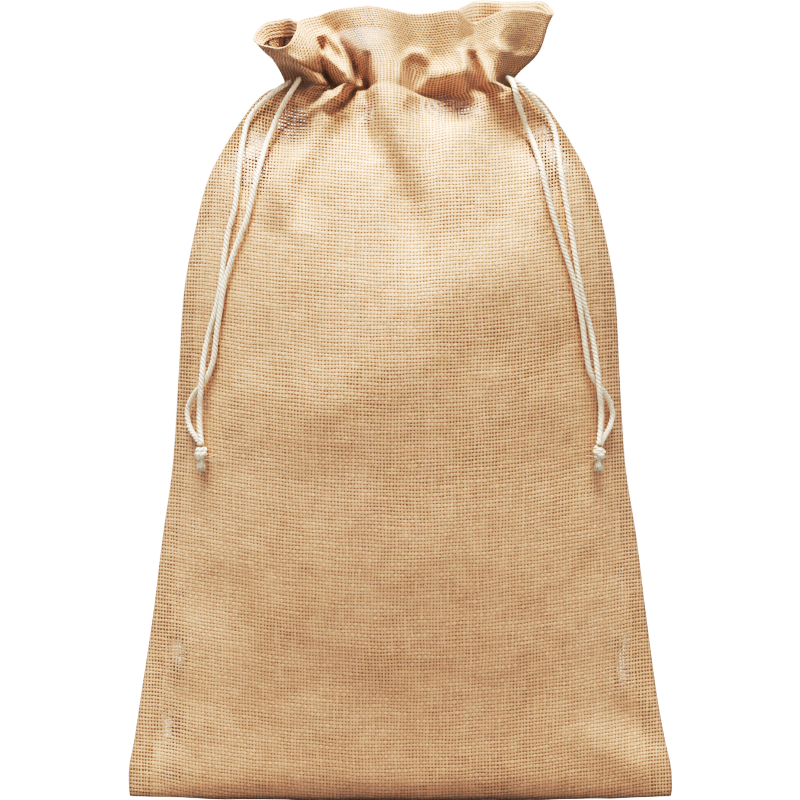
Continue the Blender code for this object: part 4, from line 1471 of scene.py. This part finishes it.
def weave_group():
    """Plain weave: one warp yarn over, one under. Height and cover come out, with each yarn's own tone."""
    entries = {
        "Place": None,
        "Warp Pitch": WARP_PITCH,
        "Weft Pitch": WEFT_PITCH,
        "Warp Width": WARP.half_width,
        "Weft Width": WEFT.half_width,
        "Open": 0.0,
        "Wander": WANDER,
    }
    tree, given, result = group_tree("plain_weave", entries, ("Height", "Cover", "Tone", "Fibre"))
    across, up = split_place(tree, given["Place"])
    warp = yarns_one_way(tree, given, WARP, across, up)
    weft = yarns_one_way(tree, given, WEFT, up, across)
    warp_over = (weft.count - 0.5 + warp.number).wave()
    weft_over = (warp.count - 0.5 + weft.number).wave() * -1.0
    warp_height = yarn_height(WARP, warp, warp_over)
    weft_height = yarn_height(WEFT, weft, weft_over)
    weft_on_top = weft_height.maths("GREATER_THAN", warp_height)
    streak = weft_on_top.between(warp.streak, weft.streak)
    height = warp_height.maths("MAXIMUM", weft_height)
    feed(tree, result.inputs["Height"], height + (streak - 0.5) * STREAK_HEIGHT)
    feed(tree, result.inputs["Cover"], warp.cover.maths("MAXIMUM", weft.cover))
    feed(tree, result.inputs["Tone"], weft_on_top.between(warp.tone, weft.tone))
    feed(tree, result.inputs["Fibre"], streak)
    return tree


def new_material(name, roughness, sheen=0.0, sheen_tint=(1, 1, 1)):
    made = bpy.data.materials.new(name)
    made.use_nodes = True
    shader = made.node_tree.nodes["Principled BSDF"]
    shader.inputs["Roughness"].default_value = roughness
    shader.inputs["Sheen Weight"].default_value = sheen
    shader.inputs["Sheen Tint"].default_value = (*sheen_tint, 1)
    return made, made.node_tree, shader


def surface_place(tree):
    """The piece's own flat map, as a place in metres on the cloth or the cord."""
    node = tree.nodes.new("ShaderNodeUVMap")
    node.uv_map = FLAT_MAP
    return Amount(tree, node.outputs["UV"])


def object_place(tree):
    return Amount(tree, tree.nodes.new("ShaderNodeTexCoord").outputs["Object"])


def attribute_of(tree, name):
    node = tree.nodes.new("ShaderNodeAttribute")
    node.attribute_name = name
    return Amount(tree, node.outputs["Fac"])


def bumped(tree, shader, height, distance):
    """Gives a material this relief, this deep where the height goes from 0 to 1."""
    node = tree.nodes.new("ShaderNodeBump")
    node.inputs["Distance"].default_value = distance
    feed(tree, node.inputs["Height"], height)
    tree.links.new(node.outputs["Normal"], shader.inputs["Normal"])


def burlap(weave):
    """Plain-woven jute: pale yarns, painted shade in the gaps, and light through them where the weave is
    open.
    """
    made, tree, shader = new_material("burlap", BURLAP_ROUGHNESS, BURLAP_SHEEN, BURLAP_SHEEN_TINT)
    yarns = tree.nodes.new("ShaderNodeGroup")
    yarns.node_tree = weave
    patchy = cloudy(tree, object_place(tree), PATCH_SCALE)
    opened = attribute_of(tree, "looseness")
    across, up = split_place(tree, surface_place(tree))
    from_middle = across - CUT_WIDTH / 2
    band_edge = CUT_WIDTH / 2 - SEAM_BAND
    band = from_middle.size().ramp(band_edge, band_edge + SEAM_EDGE)
    opened = opened + band * SEAM_OPENING + patchy.ramp(*LOOSE_EDGES) * PATCH_OPENING
    feed(tree, yarns.inputs["Place"], place_of(tree, attribute_of(tree, "run"), up))
    feed(tree, yarns.inputs["Open"], opened)
    height, cover, tone, fibre = (
        Amount(tree, yarns.outputs[name]) for name in ("Height", "Cover", "Tone", "Fibre")
    )
    crown = height.ramp(*CROWN_EDGES)
    pale = tone.ramp(*TONE_EDGES)
    # Below its crown a yarn takes the gap colours: painted shade between the yarns
    gap = blend(tree, pale, GAP_SHADE_DEEP, GAP_SHADE_PALE)
    yarn = blend(tree, pale, YARN_DEEP, YARN_PALE)
    colour = blend(tree, crown, gap, yarn)
    colour = blend(tree, fibre.ramp(*FLECK_EDGES) * FLECK_STRENGTH, colour, FLECK)
    colour = blend(tree, patchy.ramp(*PATCH_EDGES) * PATCH_STRENGTH, colour, PATCH_TINT, "MULTIPLY")
    # Where no yarn covers, the pinholes get painted shade of what lies behind them
    colour = blend(tree, cover, PINHOLE_SHADE, colour)
    # Along the side seams no light passes the holes, which show only their painted shade
    clear = attribute_of(tree, "clearness").between(HOLE_CLEARNESS, 1.0) * (band * -1.0 + 1.0)
    feed(tree, shader.inputs["Base Color"], colour)
    feed(tree, shader.inputs["Alpha"], (cover * -1.0 + 1.0) * clear * -1.0 + 1.0)
    feed(tree, shader.inputs["Roughness"], crown.between(BURLAP_ROUGHNESS, CROWN_ROUGHNESS))
    bumped(tree, shader, height, WEAVE_RELIEF)
    return made


def cotton():
    """Twisted cotton: fine fibres along each ply, with painted shade in the grooves between them."""
    made, tree, shader = new_material("cotton", COTTON_ROUGHNESS, COTTON_SHEEN)
    around, along = split_place(tree, surface_place(tree))
    slanted = around * COTTON_STRANDS + along * COTTON_SLANT
    strands = cloudy(tree, place_of(tree, slanted, along * COTTON_LENGTHS, 1.0), 1.0)
    spots = cloudy(tree, object_place(tree), SPOT_SCALE)
    colour = blend(tree, strands.ramp(*TONE_EDGES), COTTON_GROOVE_SHADE, COTTON_PALE)
    colour = blend(tree, spots.ramp(*SPOT_EDGES) * SPOT_STRENGTH, colour, COTTON_SPOT)
    feed(tree, shader.inputs["Base Color"], colour)
    bumped(tree, shader, strands, COTTON_RELIEF)
    return made


def fibre_finish():
    """Single jute fibres, each a little paler or darker than the next."""
    made, tree, shader = new_material("jute_fibre", FIBRE_ROUGHNESS)
    tone = cloudy(tree, object_place(tree), FIBRE_TONES)
    feed(tree, shader.inputs["Base Color"], blend(tree, tone, FIBRE_DEEP, FIBRE_PALE))
    return made


# ---------------------------------------------------------------- stage


def floor():
    """A plain white floor, bright enough to leave only a faint shadow under the sack."""
    made = bpy.data.materials.new("floor")
    made.use_nodes = True
    tree = made.node_tree
    shader = tree.nodes["Principled BSDF"]
    shader.inputs["Base Color"].default_value = (*FLOOR_COLOUR, 1)
    shader.inputs["Roughness"].default_value = FLOOR_ROUGHNESS
    shader.inputs["Specular IOR Level"].default_value = 0.0
    glow = tree.nodes.new("ShaderNodeEmission")
    seen = tree.nodes.new("ShaderNodeLightPath")
    share = Amount(tree, seen.outputs["Is Camera Ray"]) * FLOOR_GLOW
    both = tree.nodes.new("ShaderNodeAddShader")
    feed(tree, glow.inputs["Strength"], share)
    tree.links.new(shader.outputs[0], both.inputs[0])
    tree.links.new(glow.outputs[0], both.inputs[1])
    tree.links.new(both.outputs[0], tree.nodes["Material Output"].inputs["Surface"])
    mesh = bpy.data.meshes.new("floor")
    corners = [(-1, -1), (1, -1), (1, 1), (-1, 1)]
    mesh.from_pydata([(FLOOR_REACH * x, FLOOR_REACH * y, 0) for x, y in corners], [], [(0, 1, 2, 3)])
    mesh.materials.append(made)
    add_object("floor", mesh)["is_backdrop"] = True


def soft_box(name, place, aim, size, power, colour):
    light = bpy.data.lights.new(name, "AREA")
    light.shape = "RECTANGLE"
    light.size, light.size_y = size
    light.energy = power
    light.color = colour
    lamp = add_object(name, light)
    lamp.location = place
    lamp.rotation_euler = (Vector(aim) - Vector(place)).to_track_quat("-Z", "Y").to_euler()


def surroundings():
    """White all round to look at, and a softer light from it."""
    world = bpy.data.worlds.new("studio")
    world.use_nodes = True
    tree = world.node_tree
    backdrop = tree.nodes["Background"]
    backdrop.inputs["Color"].default_value = (*SURROUND_COLOUR, 1)
    backdrop.inputs["Strength"].default_value = SURROUND_LIGHT
    white = tree.nodes.new("ShaderNodeBackground")
    white.inputs["Color"].default_value = (1, 1, 1, 1)
    seen = tree.nodes.new("ShaderNodeLightPath")
    either = tree.nodes.new("ShaderNodeMixShader")
    tree.links.new(seen.outputs["Is Camera Ray"], either.inputs["Fac"])
    tree.links.new(backdrop.outputs[0], either.inputs[1])
    tree.links.new(white.outputs[0], either.inputs[2])
    tree.links.new(either.outputs[0], tree.nodes["World Output"].inputs["Surface"])
    bpy.context.scene.world = world


def camera():
    lens = bpy.data.cameras.new("camera")
    lens.sensor_width = SENSOR
    lens.lens = SENSOR * FOCAL_PIXELS / FRAME_PIXELS
    view = add_object("camera", lens)
    view.location = (VIEW_ACROSS, -VIEW_DISTANCE, VIEW_HEIGHT)
    view.rotation_euler = (math.pi / 2, 0, 0)
    bpy.context.scene.camera = view


def develop():
    """A print's response to light: deep shadows, a soft shoulder, and full white at 1."""
    settings = bpy.context.scene.view_settings
    settings.view_transform = "Standard"
    settings.use_curve_mapping = True
    curve = settings.curve_mapping.curves[3]
    for light, tone in RESPONSE:
        curve.points.new(light, tone)
    settings.curve_mapping.update()


def main():
    cad_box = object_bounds()
    develop()
    jute = burlap(weave_group())
    string = cotton()
    plain = cloth_to_lie_on()
    routes = {name: laid_on(plain, route) for name, route in ROUTES.items()}
    knots = {}
    for name, place in KNOTS.items():
        knots[name] = knot_with_tuft(name, laid_on(plain, [place])[0], string)
    for name, route in routes.items():
        cord(name, route, knots["knot_left" if "left" in name else "knot_right"], string)
    cloth = sack_cloth(jute, [line_through(route, MM) for route in routes.values()])
    loose_fibres(cloth, fibre_finish())
    floor()
    camera()
    surroundings()
    for light in LIGHTS:
        soft_box(*light)
    write_sizes(cad_box)


def write_sizes(cad_box):
    """The CAD model's box and the visual model's, gathered as lists of numbers; nothing further is done
    with them.
    """
    sizes = [[[float(value) for value in corner] for corner in box] for box in (cad_box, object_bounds())]


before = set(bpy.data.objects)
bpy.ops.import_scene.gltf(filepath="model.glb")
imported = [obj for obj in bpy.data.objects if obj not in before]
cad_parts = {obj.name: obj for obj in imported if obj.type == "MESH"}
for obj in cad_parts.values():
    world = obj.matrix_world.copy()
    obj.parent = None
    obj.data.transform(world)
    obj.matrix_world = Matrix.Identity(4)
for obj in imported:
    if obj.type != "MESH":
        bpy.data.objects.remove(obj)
main()
